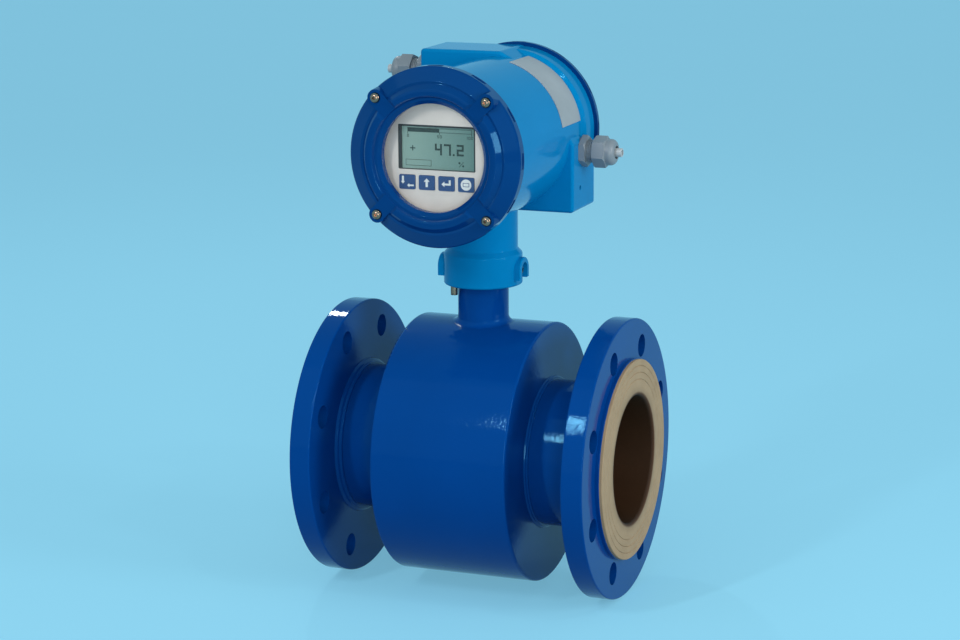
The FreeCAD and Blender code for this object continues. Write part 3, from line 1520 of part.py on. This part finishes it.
def main():
    os.makedirs("parts", exist_ok=True)
    pieces = {}
    pieces.update(flow_line_pieces())
    pieces.update(head_pieces())
    pieces.update(inner_pieces())
    pieces.update(gland_pieces())
    for name, shape in pieces.items():
        shape.exportStep("parts/" + name + ".step")


main()
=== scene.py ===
import bpy
import bmesh
import json
import math
from mathutils import Matrix, Vector


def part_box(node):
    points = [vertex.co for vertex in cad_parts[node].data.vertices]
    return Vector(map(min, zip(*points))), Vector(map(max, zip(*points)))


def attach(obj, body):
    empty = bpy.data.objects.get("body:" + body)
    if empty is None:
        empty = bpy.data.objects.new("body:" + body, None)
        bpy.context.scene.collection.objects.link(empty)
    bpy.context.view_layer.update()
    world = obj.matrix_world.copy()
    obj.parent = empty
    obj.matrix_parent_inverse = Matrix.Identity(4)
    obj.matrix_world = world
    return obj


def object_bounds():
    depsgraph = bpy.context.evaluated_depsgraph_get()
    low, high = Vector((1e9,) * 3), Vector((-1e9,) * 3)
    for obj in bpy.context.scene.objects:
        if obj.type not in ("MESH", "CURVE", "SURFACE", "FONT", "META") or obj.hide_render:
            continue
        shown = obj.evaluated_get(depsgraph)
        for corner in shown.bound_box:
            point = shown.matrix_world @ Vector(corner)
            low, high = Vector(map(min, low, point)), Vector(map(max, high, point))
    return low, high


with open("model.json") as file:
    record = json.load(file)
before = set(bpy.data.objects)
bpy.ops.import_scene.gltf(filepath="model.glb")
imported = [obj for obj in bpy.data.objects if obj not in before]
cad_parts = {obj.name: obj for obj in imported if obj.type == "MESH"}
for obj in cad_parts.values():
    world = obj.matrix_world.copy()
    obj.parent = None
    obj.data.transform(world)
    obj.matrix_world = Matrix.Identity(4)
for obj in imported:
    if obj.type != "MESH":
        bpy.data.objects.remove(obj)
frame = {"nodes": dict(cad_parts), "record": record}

cad_low, cad_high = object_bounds()

# ---- Camera, degrees and metres; lens and sensor in millimetres ----
CAMERA_YAW = 21.275
CAMERA_PITCH = 12.416
CAMERA_ROLL = -0.384
CAMERA_DISTANCE = 2.05887
CAMERA_RIGHT = -0.00350
CAMERA_UP = 0.09954
LENS = 97.056
SENSOR = 36.0

# ---- Stage and light, metres and linear colours ----
# The camera, mirrors and glass see the colours named SEEN and BACKDROP; other rays meet the rest
FLOOR_COLOR = (0.28, 0.50, 0.64)
FLOOR_SEEN_COLOR = (0.16, 0.36, 0.46)
FLOOR_SEEN_GLOW = (0.14, 0.36, 0.48)
BACKDROP_COLOR = (0.24, 0.62, 0.86)
AMBIENT_COLOR = (0.88, 0.96, 1.0)
AMBIENT_STRENGTH = 0.38
FLOOR_HALF = 14.0
FLOOR_GAP = 0.0005
LIGHT_TARGET = Vector((0.0, 0.0, 0.06))

# ---- Colours, linear ----
ROYAL_BLUE = (0.0004, 0.049, 0.245)
SKY_BLUE = (0.0004, 0.212, 0.495)
NAVY_BLUE = (0.0004, 0.036, 0.172)
SPECULAR_TINT = (0.20, 0.70, 1.0)
FACE_TAN = (0.44, 0.315, 0.185)
# Painted shade inside the bore; the lining itself is tan throughout
BORE_SHADE_BROWN = (0.042, 0.018, 0.007)
# Painted shading across the display: lighter at its left, darker at its right
DISPLAY_LEFT = (0.29, 0.42, 0.365)
DISPLAY_RIGHT = (0.12, 0.24, 0.215)

# ---- Finishes ----
# Colour, roughness, orange peel, specular level
PAINTS = {
    "royal_blue_paint": (ROYAL_BLUE, 0.06, 0.45, 0.14),
    "light_blue_paint": (SKY_BLUE, 0.10, 0.12, 0.09),
    "dark_blue_paint": (NAVY_BLUE, 0.07, 0.15, 0.34),
}
# Colour, roughness, streaks per metre
METALS = {
    "soft_iron": ((0.35, 0.35, 0.36), 0.4, 80.0),
    "copper_winding": ((0.60, 0.28, 0.15), 0.3, 120.0),
    "stainless_steel": ((0.36, 0.22, 0.15), 0.20, 400.0),
    "plated_brass": ((0.66, 0.60, 0.42), 0.3, 200.0),
}
# Colour, roughness, grains per metre, strength of the grain
PLASTICS = {
    "insulating_plastic": ((0.05, 0.05, 0.055), 0.5, 500.0, 0.2),
    "seal_rubber": ((0.01, 0.01, 0.01), 0.6, 700.0, 0.3),
    "blank_plate": ((0.34, 0.37, 0.38), 0.42, 900.0, 0.1),
    "faceplate_grey": ((0.79, 0.69, 0.64), 0.42, 900.0, 0.08),
    "bezel_black": ((0.008, 0.008, 0.009), 0.4, 900.0, 0.1),
    "key_blue": ((0.004, 0.055, 0.20), 0.4, 900.0, 0.1),
    "circuit_board": ((0.02, 0.12, 0.05), 0.4, 300.0, 0.3),
    "potting_black": ((0.012, 0.012, 0.012), 0.5, 400.0, 0.3),
    "cable_grey": ((0.10, 0.10, 0.11), 0.5, 500.0, 0.2),
    "gland_grey": ((0.215, 0.25, 0.275), 0.38, 700.0, 0.25),
    "plug_grey": ((0.46, 0.50, 0.51), 0.35, 700.0, 0.15),
    "lcd_ink": ((0.002, 0.028, 0.022), 0.5, 900.0, 0.05),
    "icon_white": ((0.84, 0.83, 0.81), 0.45, 900.0, 0.05),
}
# Lumps per metre and their depth in metres
SKIN_SCALE = 1300.0
SKIN_DEPTH = 0.00003
WAVE_SCALE = 420.0
WAVE_DEPTH = 0.00016
PLASTIC_DEPTH = 0.0003
METAL_DEPTH = 0.0002
# Places on the pipe and the display, metres
BORE_RADIUS = 0.050
DISPLAY_LEFT_X = -0.030
DISPLAY_RIGHT_X = 0.029

# ---- Marks on the display and the keys, millimetres ----
MM = 0.001
MARK_THICK = 0.1 * MM
SEGMENTS = {"0": "abcdef", "1": "bc", "2": "abged", "4": "fgbc", "5": "afgcd", "7": "abc"}
# Places on the display, from the head's axis
GRAPH_LEFT = -25.0
GRAPH_RIGHT = 26.5
GRAPH_BOTTOM = 17.4
GRAPH_TOP = 20.6
GRAPH_FILLED_TO = 0.6
GRAPH_LINE = 0.35
TICK_WIDTH = 0.4
TICK_BOTTOM = 15.9
SCALE_BOTTOM = 13.4
SCALE_PITCH = 2.1
NUMBER_BOTTOM = 0.6
NUMBER_DOT = 1.4
# Width, height and line of a digit
SCALE_DIGIT = (1.5, 2.1, 0.35)
NUMBER_DIGIT = (5.6, 8.6, 1.5)


# ================= Materials =================
def new_material(name):
    """Empty node material with its Principled shader and object coordinates."""
    material = bpy.data.materials.new(name)
    material.use_nodes = True
    tree = material.node_tree
    shader = tree.nodes["Principled BSDF"]
    coords = tree.nodes.new("ShaderNodeTexCoord")
    return material, tree, shader, coords.outputs["Object"]


def noise(tree, coords, scale, detail=2.0, rough=0.5):
    """Noise value over the object's own coordinates."""
    node = tree.nodes.new("ShaderNodeTexNoise")
    node.inputs["Scale"].default_value = scale
    node.inputs["Detail"].default_value = detail
    node.inputs["Roughness"].default_value = rough
    tree.links.new(coords, node.inputs["Vector"])
    return node.outputs["Fac"]


def ramp(tree, value, stops):
    """Colour ramp from (position, colour) stops."""
    node = tree.nodes.new("ShaderNodeValToRGB")
    elements = node.color_ramp.elements
    while len(elements) < len(stops):
        elements.new(0.5)
    for element, (position, color) in zip(elements, stops):
        element.position = position
        element.color = (*color, 1.0)
    tree.links.new(value, node.inputs["Fac"])
    return node.outputs["Color"]


def spread(tree, value, low, high):
    """Value mapped from 0..1 to a range."""
    node = tree.nodes.new("ShaderNodeMapRange")
    node.inputs["To Min"].default_value = low
    node.inputs["To Max"].default_value = high
    tree.links.new(value, node.inputs["Value"])
    return node.outputs["Result"]


def bump(tree, height, strength, distance, normal=None):
    """Bump from a height value, on top of another bump if one is given."""
    node = tree.nodes.new("ShaderNodeBump")
    node.inputs["Strength"].default_value = strength
    node.inputs["Distance"].default_value = distance
    tree.links.new(height, node.inputs["Height"])
    if normal is not None:
        tree.links.new(normal, node.inputs["Normal"])
    return node.outputs["Normal"]


def mixed(tree, factor, first, second):
    """Mix of two plain colours by a factor."""
    node = tree.nodes.new("ShaderNodeMix")
    node.data_type = "RGBA"
    tree.links.new(factor, node.inputs["Factor"])
    node.inputs["A"].default_value = (*first, 1.0)
    node.inputs["B"].default_value = (*second, 1.0)
    return node.outputs["Result"]


def times(tree, first, second, amount):
    """Product of two colours, faded by an amount."""
    node = tree.nodes.new("ShaderNodeMix")
    node.data_type = "RGBA"
    node.blend_type = "MULTIPLY"
    node.inputs["Factor"].default_value = amount
    tree.links.new(first, node.inputs["A"])
    tree.links.new(second, node.inputs["B"])
    return node.outputs["Result"]


def shade(color, factor):
    """A colour made lighter or darker."""
    return tuple(min(1.0, c * factor) for c in color)


def gloss_paint(name, color, roughness, peel, specular):
    """Glossy enamel with a fine orange peel skin and slight unevenness of tone."""
    material, tree, shader, coords = new_material(name)
    cloud = noise(tree, coords, 9.0, 3.0)
    tone = ramp(tree, cloud, [(0.3, shade(color, 0.94)), (0.7, shade(color, 1.05))])
    tree.links.new(tone, shader.inputs["Base Color"])
    rough = spread(tree, noise(tree, coords, 70.0, 3.0), roughness * 0.8, roughness * 1.25)
    tree.links.new(rough, shader.inputs["Roughness"])
    skin = bump(tree, noise(tree, coords, SKIN_SCALE, 1.0), peel, SKIN_DEPTH)
    wave = bump(tree, noise(tree, coords, WAVE_SCALE, 1.0), peel, WAVE_DEPTH, skin)
    tree.links.new(wave, shader.inputs["Normal"])
    shader.inputs["Specular IOR Level"].default_value = specular
    shader.inputs["Specular Tint"].default_value = (*SPECULAR_TINT, 1.0)
    return material


def plain_plastic(name, color, roughness, grain_scale, grain):
    """Moulded plastic with a fine grain and slight tone changes."""
    material, tree, shader, coords = new_material(name)
    cloud = noise(tree, coords, 35.0, 4.0)
    tone = ramp(tree, cloud, [(0.25, shade(color, 0.9)), (0.75, shade(color, 1.08))])
    tree.links.new(tone, shader.inputs["Base Color"])
    rough = spread(tree, noise(tree, coords, 200.0), roughness * 0.85, roughness * 1.15)
    tree.links.new(rough, shader.inputs["Roughness"])
    skin = bump(tree, noise(tree, coords, grain_scale, 3.0), grain, PLASTIC_DEPTH)
    tree.links.new(skin, shader.inputs["Normal"])
    return material


def metal(name, color, roughness, scale):
    """Plain turned or drawn metal with fine streaks."""
    material, tree, shader, coords = new_material(name)
    cloud = noise(tree, coords, scale, 5.0, 0.65)
    tone = ramp(tree, cloud, [(0.3, shade(color, 0.72)), (0.7, shade(color, 1.1))])
    tree.links.new(tone, shader.inputs["Base Color"])
    tree.links.new(spread(tree, cloud, roughness * 0.7, roughness * 1.5), shader.inputs["Roughness"])
    scratches = bump(tree, noise(tree, coords, scale * 3, 2.0), 0.25, METAL_DEPTH)
    tree.links.new(scratches, shader.inputs["Normal"])
    shader.inputs["Metallic"].default_value = 1.0
    return material


def pipe_radius(tree, coords):
    """Distance of a point from the pipe's axis."""
    flat = tree.nodes.new("ShaderNodeVectorMath")
    flat.operation = "MULTIPLY"
    flat.inputs[1].default_value = (0, 1, 1)
    tree.links.new(coords, flat.inputs[0])
    length = tree.nodes.new("ShaderNodeVectorMath")
    length.operation = "LENGTH"
    tree.links.new(flat.outputs["Vector"], length.inputs[0])
    return length.outputs["Value"]


def lining(name, face_color, bore_shade_color, bore_radius):
    """Hard rubber lining: tan sealing faces with fine turned rings; the bore is painted dark brown
    as painted shade, and the faces darken over the lip into it.
    """
    material, tree, shader, coords = new_material(name)
    radius = pipe_radius(tree, coords)
    ratio = tree.nodes.new("ShaderNodeMath")
    ratio.operation = "DIVIDE"
    ratio.inputs[1].default_value = bore_radius * 2
    tree.links.new(radius, ratio.inputs[0])
    # Painted shade: dark brown in the bore, lighter over the lip, then the faces' own tan
    face_and_bore_shade = ramp(tree, ratio.outputs[0], [
        (0.503, bore_shade_color),
        (0.518, shade(bore_shade_color, 2.2)),
        (0.535, shade(face_color, 0.80)),
        (0.58, face_color),
    ])
    cloud = noise(tree, coords, 55.0, 5.0, 0.6)
    blotch = ramp(tree, cloud, [(0.3, (0.82, 0.80, 0.78)), (0.7, (1.0, 1.0, 1.0))])
    tree.links.new(times(tree, face_and_bore_shade, blotch, 0.75), shader.inputs["Base Color"])
    shader.inputs["Roughness"].default_value = 0.6
    shader.inputs["Specular IOR Level"].default_value = 0.15
    wave = tree.nodes.new("ShaderNodeTexWave")
    wave.wave_type = "RINGS"
    wave.rings_direction = "X"
    wave.inputs["Scale"].default_value = 900.0
    wave.inputs["Distortion"].default_value = 0.6
    tree.links.new(coords, wave.inputs["Vector"])
    fine = bump(tree, wave.outputs["Fac"], 0.12, 0.0003)
    dents = bump(tree, noise(tree, coords, 260.0, 4.0), 0.25, 0.0005, fine)
    tree.links.new(dents, shader.inputs["Normal"])
    return material


def display_panel(name, left_color, right_color):
    """Display glass with painted shading that darkens from its left side to its right."""
    material, tree, shader, coords = new_material(name)
    split = tree.nodes.new("ShaderNodeSeparateXYZ")
    tree.links.new(coords, split.inputs[0])
    across = tree.nodes.new("ShaderNodeMapRange")
    across.inputs["From Min"].default_value = DISPLAY_LEFT_X
    across.inputs["From Max"].default_value = DISPLAY_RIGHT_X
    tree.links.new(split.outputs["X"], across.inputs["Value"])
    # Painted shading, lighter at the left and darker at the right
    tone = ramp(tree, across.outputs["Result"], [(0.15, left_color), (1.0, right_color)])
    specks = noise(tree, coords, 1500.0, 2.0)
    grain = ramp(tree, specks, [(0.3, (0.9, 0.9, 0.9)), (0.7, (1.0, 1.0, 1.0))])
    tree.links.new(times(tree, tone, grain, 1.0), shader.inputs["Base Color"])
    shader.inputs["Roughness"].default_value = 0.35
    return material


def clear_glass(name):
    """Clear pane: see-through, with a plain reflection that grows at a slant."""
    material, tree, shader, coords = new_material(name)
    shader.inputs["Base Color"].default_value = (0.9, 0.95, 0.95, 1.0)
    haze = spread(tree, noise(tree, coords, 30.0), 0.015, 0.03)
    tree.links.new(haze, shader.inputs["Roughness"])
    clear = tree.nodes.new("ShaderNodeBsdfTransparent")
    clear.inputs["Color"].default_value = (0.97, 0.985, 0.985, 1.0)
    fresnel = tree.nodes.new("ShaderNodeFresnel")
    fresnel.inputs["IOR"].default_value = 1.3
    mix = tree.nodes.new("ShaderNodeMixShader")
    tree.links.new(fresnel.outputs[0], mix.inputs[0])
    tree.links.new(clear.outputs[0], mix.inputs[1])
    tree.links.new(shader.outputs[0], mix.inputs[2])
    tree.links.new(mix.outputs[0], tree.nodes["Material Output"].inputs["Surface"])
    return material


def make_materials():
    """Every material of the object, by the record's slot name or by its own."""
    materials = {}
    for name, finish in PAINTS.items():
        materials[name] = gloss_paint(name, *finish)
    for name, finish in METALS.items():
        materials[name] = metal(name, *finish)
    for name, finish in PLASTICS.items():
        materials[name] = plain_plastic(name, *finish)
    materials["hard_rubber_lining"] = lining("hard_rubber_lining", FACE_TAN, BORE_SHADE_BROWN, BORE_RADIUS)
    materials["display_glass"] = display_panel("display_glass", DISPLAY_LEFT, DISPLAY_RIGHT)
    materials["window_glass"] = clear_glass("window_glass")
    return materials


def dress_nodes(materials):
    """Give every CAD node the material of its record slot."""
    slots = {part["node"]: part["material_slot"] for part in frame["record"]["subparts"]}
    for name, node in frame["nodes"].items():
        node.data.materials.clear()
        node.data.materials.append(materials[slots[name]])


# ================= Marks =================
def flat_marks(name, body, material, center, front, outlines):
    """Thin marks on a face that looks along -Y; outlines are in millimetres from a centre."""
    shape = bmesh.new()
    for outline in outlines:
        places = [(center.x + x * MM, center.z + z * MM) for x, z in outline]
        near = [shape.verts.new((x, front - MARK_THICK, z)) for x, z in places]
        far = [shape.verts.new((x, front, z)) for x, z in places]
        shape.faces.new(near)
        shape.faces.new(far[::-1])
        for i in range(len(places)):
            j = (i + 1) % len(places)
            shape.faces.new((near[j], near[i], far[i], far[j]))
    bmesh.ops.recalc_face_normals(shape, faces=shape.faces)
    mesh = bpy.data.meshes.new(name)
    shape.to_mesh(mesh)
    shape.free()
    mesh.materials.append(material)
    piece = bpy.data.objects.new(name, mesh)
    bpy.context.scene.collection.objects.link(piece)
    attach(piece, body)


def bar(left, bottom, right, top):
    """Outline of a plain rectangle."""
    return [(left, bottom), (right, bottom), (right, top), (left, top)]


def frame_bars(left, bottom, right, top, line):
    """Four thin bars round a rectangle."""
    return [
        bar(left, bottom, right, bottom + line),
        bar(left, top - line, right, top),
        bar(left, bottom + line, left + line, top - line),
        bar(right - line, bottom + line, right, top - line),
    ]


def disc(x, z, radius):
    """Outline of a disc."""
    steps = 40
    turns = [2 * math.pi * i / steps for i in range(steps)]
    return [(x + radius * math.cos(a), z + radius * math.sin(a)) for a in turns]


def digit(symbol, left, bottom, width, height, line):
    """Joined bars of one squared digit."""
    lit = SEGMENTS[symbol]
    right = left + width
    top = bottom + height
    middle = bottom + height / 2
    half = line / 2 if "g" in lit else 0
    high = top - line if "a" in lit else top
    low = bottom + line if "d" in lit else bottom
    bars = {
        "a": bar(left, top - line, right, top),
        "b": bar(right - line, middle + half, right, high),
        "c": bar(right - line, low, right, middle - half),
        "d": bar(left, bottom, right, bottom + line),
        "e": bar(left, low, left + line, middle - half),
        "f": bar(left, middle + half, left + line, high),
        "g": bar(left, middle - half, right, middle + half),
    }
    return [bars[letter] for letter in lit]


def scale_number(text, middle):
    """Small digits under a tick of the bar graph."""
    width = SCALE_DIGIT[0]
    left = middle - (len(text) * SCALE_PITCH - (SCALE_PITCH - width)) / 2
    outlines = []
    for place, symbol in enumerate(text):
        outlines += digit(symbol, left + place * SCALE_PITCH, SCALE_BOTTOM, *SCALE_DIGIT)
    return outlines


def bar_graph():
    """Half-filled bar graph with three ticks and their numbers."""
    outlines = frame_bars(GRAPH_LEFT, GRAPH_BOTTOM, GRAPH_RIGHT, GRAPH_TOP, GRAPH_LINE)
    outlines.append(bar(
        GRAPH_LEFT + GRAPH_LINE, GRAPH_BOTTOM + GRAPH_LINE, GRAPH_FILLED_TO, GRAPH_TOP - GRAPH_LINE))
    half_tick = TICK_WIDTH / 2
    ticks = (
        (GRAPH_LEFT + half_tick, -24.6, "0"),
        (0.7, 0.7, "50"),
        (GRAPH_RIGHT - half_tick, 24.6, "100"),
    )
    for tick, middle, text in ticks:
        outlines.append(bar(tick - half_tick, TICK_BOTTOM, tick + half_tick, GRAPH_BOTTOM))
        outlines += scale_number(text, middle)
    return outlines


def plus_sign():
    """Plus sign left of the number, in three bars that meet."""
    return [bar(-23.0, 4.8, -18.8, 5.6), bar(-21.3, 5.6, -20.5, 7.2), bar(-21.3, 3.2, -20.5, 4.8)]


def big_number():
    """Three large digits with a point before the last."""
    outlines = [bar(11.3, NUMBER_BOTTOM, 11.3 + NUMBER_DOT, NUMBER_BOTTOM + NUMBER_DOT)]
    for symbol, left in (("4", -3.0), ("7", 4.2), ("2", 14.4)):
        outlines += digit(symbol, left, NUMBER_BOTTOM, *NUMBER_DIGIT)
    return outlines


def per_cent_sign():
    """Stroke with a dot on each side."""
    stroke = [(15.9, -7.6), (16.5, -7.6), (20.1, -3.6), (19.5, -3.6)]
    return [stroke, disc(16.5, -4.5, 0.8), disc(19.5, -6.7, 0.8)]


def display_outlines():
    """Everything that the display shows; the label's box is left empty."""
    label_box = frame_bars(-26.6, -8.0, -6.0, -3.3, 0.3)
    return bar_graph() + plus_sign() + big_number() + label_box + per_cent_sign()


def key_outlines():
    """White marks of the four keys, each from its key's centre."""
    down = [
        (-4.2, 4.4), (-4.2, 0.4), (-5.1, 0.4), (-3.4, -1.5),
        (-1.7, 0.4), (-2.6, 0.4), (-2.6, 4.4),
    ]
    left = [
        (5.3, -1.9), (1.7, -1.9), (1.7, -0.9), (0.0, -2.5),
        (1.7, -4.1), (1.7, -3.1), (5.3, -3.1),
    ]
    up = [
        (-0.9, -3.2), (0.9, -3.2), (0.9, 0.8), (2.4, 0.8),
        (0.0, 3.4), (-2.4, 0.8), (-0.9, 0.8),
    ]
    enter = [
        (3.5, 2.9), (2.0, 2.9), (2.0, 0.3), (-1.5, 0.3), (-1.5, 1.7), (-3.9, -0.4),
        (-1.5, -2.5), (-1.5, -1.1), (3.5, -1.1),
    ]
    return ([down, left], [up], [enter], [disc(0.0, 0.0, 4.2)])


def display_marks(materials):
    """Marks on the display panel, laid out from the head's axis."""
    low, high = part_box("window_glass")
    axis = Vector((0.0, 0.0, (low.z + high.z) / 2))
    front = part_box("lcd_panel")[0].y
    ink = materials["lcd_ink"]
    flat_marks("lcd_marks", "converter", ink, axis, front, display_outlines())


def key_marks(materials):
    """White icon on each key, and a blue ring on the fourth key's disc."""
    white = materials["icon_white"]
    for number, outlines in enumerate(key_outlines(), start=1):
        low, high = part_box(f"key_{number}")
        center = (low + high) / 2
        body = f"key_{number}_cap"
        flat_marks(f"key_{number}_icon", body, white, center, low.y, outlines)
    low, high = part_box("key_4")
    center = (low + high) / 2
    ring = frame_bars(-2.5, -1.5, 2.5, 1.5, 0.4)
    blue = materials["key_blue"]
    flat_marks("key_4_ring", "key_4_cap", blue, center, low.y - MARK_THICK, ring)


# ================= Stage =================
def seen_directly(tree):
    """Value that is 1 for what the camera sees straight, mirrored or through glass."""
    path = tree.nodes.new("ShaderNodeLightPath")
    value = path.outputs["Is Camera Ray"]
    for name in ("Is Glossy Ray", "Is Transmission Ray"):
        either = tree.nodes.new("ShaderNodeMath")
        either.operation = "MAXIMUM"
        tree.links.new(value, either.inputs[0])
        tree.links.new(path.outputs[name], either.inputs[1])
        value = either.outputs[0]
    return value


def make_floor():
    """Large pale floor level with the lowest point of the flanges."""
    mesh = bpy.data.meshes.new("floor")
    z = cad_low.z - FLOOR_GAP
    sides = ((-1, -1), (1, -1), (1, 1), (-1, 1))
    corners = [(x * FLOOR_HALF, y * FLOOR_HALF, z) for x, y in sides]
    mesh.from_pydata(corners, [], [(0, 1, 2, 3)])
    floor = bpy.data.objects.new("floor", mesh)
    bpy.context.scene.collection.objects.link(floor)
    material, tree, shader, coords = new_material("floor_pale")
    straight = seen_directly(tree)
    seen = mixed(tree, straight, FLOOR_COLOR, FLOOR_SEEN_COLOR)
    cloud = noise(tree, coords, 3.0)
    blotch = ramp(tree, cloud, [(0.3, (0.99, 0.99, 0.99)), (0.7, (1.0, 1.0, 1.0))])
    tree.links.new(times(tree, seen, blotch, 1.0), shader.inputs["Base Color"])
    shader.inputs["Roughness"].default_value = 0.9
    shader.inputs["Specular IOR Level"].default_value = 0.1
    glow = tree.nodes.new("ShaderNodeEmission")
    glow.inputs["Color"].default_value = (*FLOOR_SEEN_GLOW, 1.0)
    tree.links.new(straight, glow.inputs["Strength"])
    both = tree.nodes.new("ShaderNodeAddShader")
    tree.links.new(shader.outputs[0], both.inputs[0])
    tree.links.new(glow.outputs[0], both.inputs[1])
    tree.links.new(both.outputs[0], tree.nodes["Material Output"].inputs["Surface"])
    mesh.materials.append(material)


def make_world():
    """Soft ambient light; seen straight, mirrored or through glass it is the pale backdrop."""
    world = bpy.data.worlds.new("studio")
    bpy.context.scene.world = world
    world.use_nodes = True
    tree = world.node_tree
    ambient = tree.nodes["Background"]
    ambient.inputs["Color"].default_value = (*AMBIENT_COLOR, 1.0)
    ambient.inputs["Strength"].default_value = AMBIENT_STRENGTH
    seen = tree.nodes.new("ShaderNodeBackground")
    seen.inputs["Color"].default_value = (*BACKDROP_COLOR, 1.0)
    mix = tree.nodes.new("ShaderNodeMixShader")
    tree.links.new(seen_directly(tree), mix.inputs[0])
    tree.links.new(ambient.outputs[0], mix.inputs[1])
    tree.links.new(seen.outputs[0], mix.inputs[2])
    tree.links.new(mix.outputs[0], tree.nodes["World Output"].inputs["Surface"])


def direction(azimuth, elevation):
    """Unit vector towards a place round the part; azimuth 0 is in front of the display."""
    a = math.radians(azimuth)
    e = math.radians(elevation)
    return Vector((math.sin(a) * math.cos(e), -math.cos(a) * math.cos(e), math.sin(e)))


def hang_light(name, data, place):
    """Aim a light at the part from a place."""
    light = bpy.data.objects.new(name, data)
    light.location = place
    light.rotation_mode = "QUATERNION"
    light.rotation_quaternion = (LIGHT_TARGET - place).to_track_quat("-Z", "Y")
    bpy.context.scene.collection.objects.link(light)


def add_softbox(name, place, width, height, power):
    """Rectangular soft box at a place."""
    data = bpy.data.lights.new(name, "AREA")
    data.shape = "RECTANGLE"
    data.size = width
    data.size_y = height
    data.energy = power
    hang_light(name, data, place)


def add_sun(name, place, angle, strength):
    """Broad distant light from a place's direction."""
    data = bpy.data.lights.new(name, "SUN")
    data.angle = math.radians(angle)
    data.energy = strength
    hang_light(name, data, place)


def make_lights():
    """Broad key light, two fills, and three small boxes.

    high_right_box is meant for the screw heads, rear_left_box for the left flange's rim, and
    front_left_box for the right pipe and the right flange's rim.
    """
    add_sun("key", LIGHT_TARGET + 3 * direction(-6, 20), 100, 0.66)
    add_softbox("right_box", LIGHT_TARGET + 1.9 * direction(80, 18), 0.7, 0.7, 14.0)
    add_softbox("front_box", LIGHT_TARGET + 2.3 * direction(27, 8), 0.30, 0.75, 9.5)
    add_softbox("high_right_box", LIGHT_TARGET + 2.0 * direction(61, 52), 0.10, 0.10, 2.0)
    add_softbox("rear_left_box", Vector((-0.84, 1.10, 1.25)), 0.05, 0.22, 3.0)
    add_softbox("front_left_box", Vector((-0.40, -1.25, 0.98)), 0.05, 0.36, 5.5)


def make_camera():
    """Camera at the measured angle, distance and lens."""
    yaw = math.radians(CAMERA_YAW)
    roll = math.radians(CAMERA_ROLL)
    back = direction(CAMERA_YAW, CAMERA_PITCH)
    level_right = Vector((math.cos(yaw), math.sin(yaw), 0))
    level_up = back.cross(level_right)
    c = math.cos(roll)
    s = math.sin(roll)
    right = level_right * c + level_up * s
    up = level_up * c - level_right * s
    place = right * CAMERA_RIGHT + up * CAMERA_UP + back * CAMERA_DISTANCE
    data = bpy.data.cameras.new("camera")
    data.lens = LENS
    data.sensor_width = SENSOR
    data.sensor_fit = "HORIZONTAL"
    data.clip_start = 0.05
    data.clip_end = 50.0
    camera = bpy.data.objects.new("camera", data)
    columns = Matrix((right, up, back)).transposed().to_4x4()
    camera.matrix_world = Matrix.Translation(place) @ columns
    bpy.context.scene.collection.objects.link(camera)
    bpy.context.scene.camera = camera


make_camera()
materials = make_materials()
dress_nodes(materials)
display_marks(materials)
key_marks(materials)
make_floor()
make_world()
make_lights()
bpy.context.scene.view_settings.view_transform = "Standard"
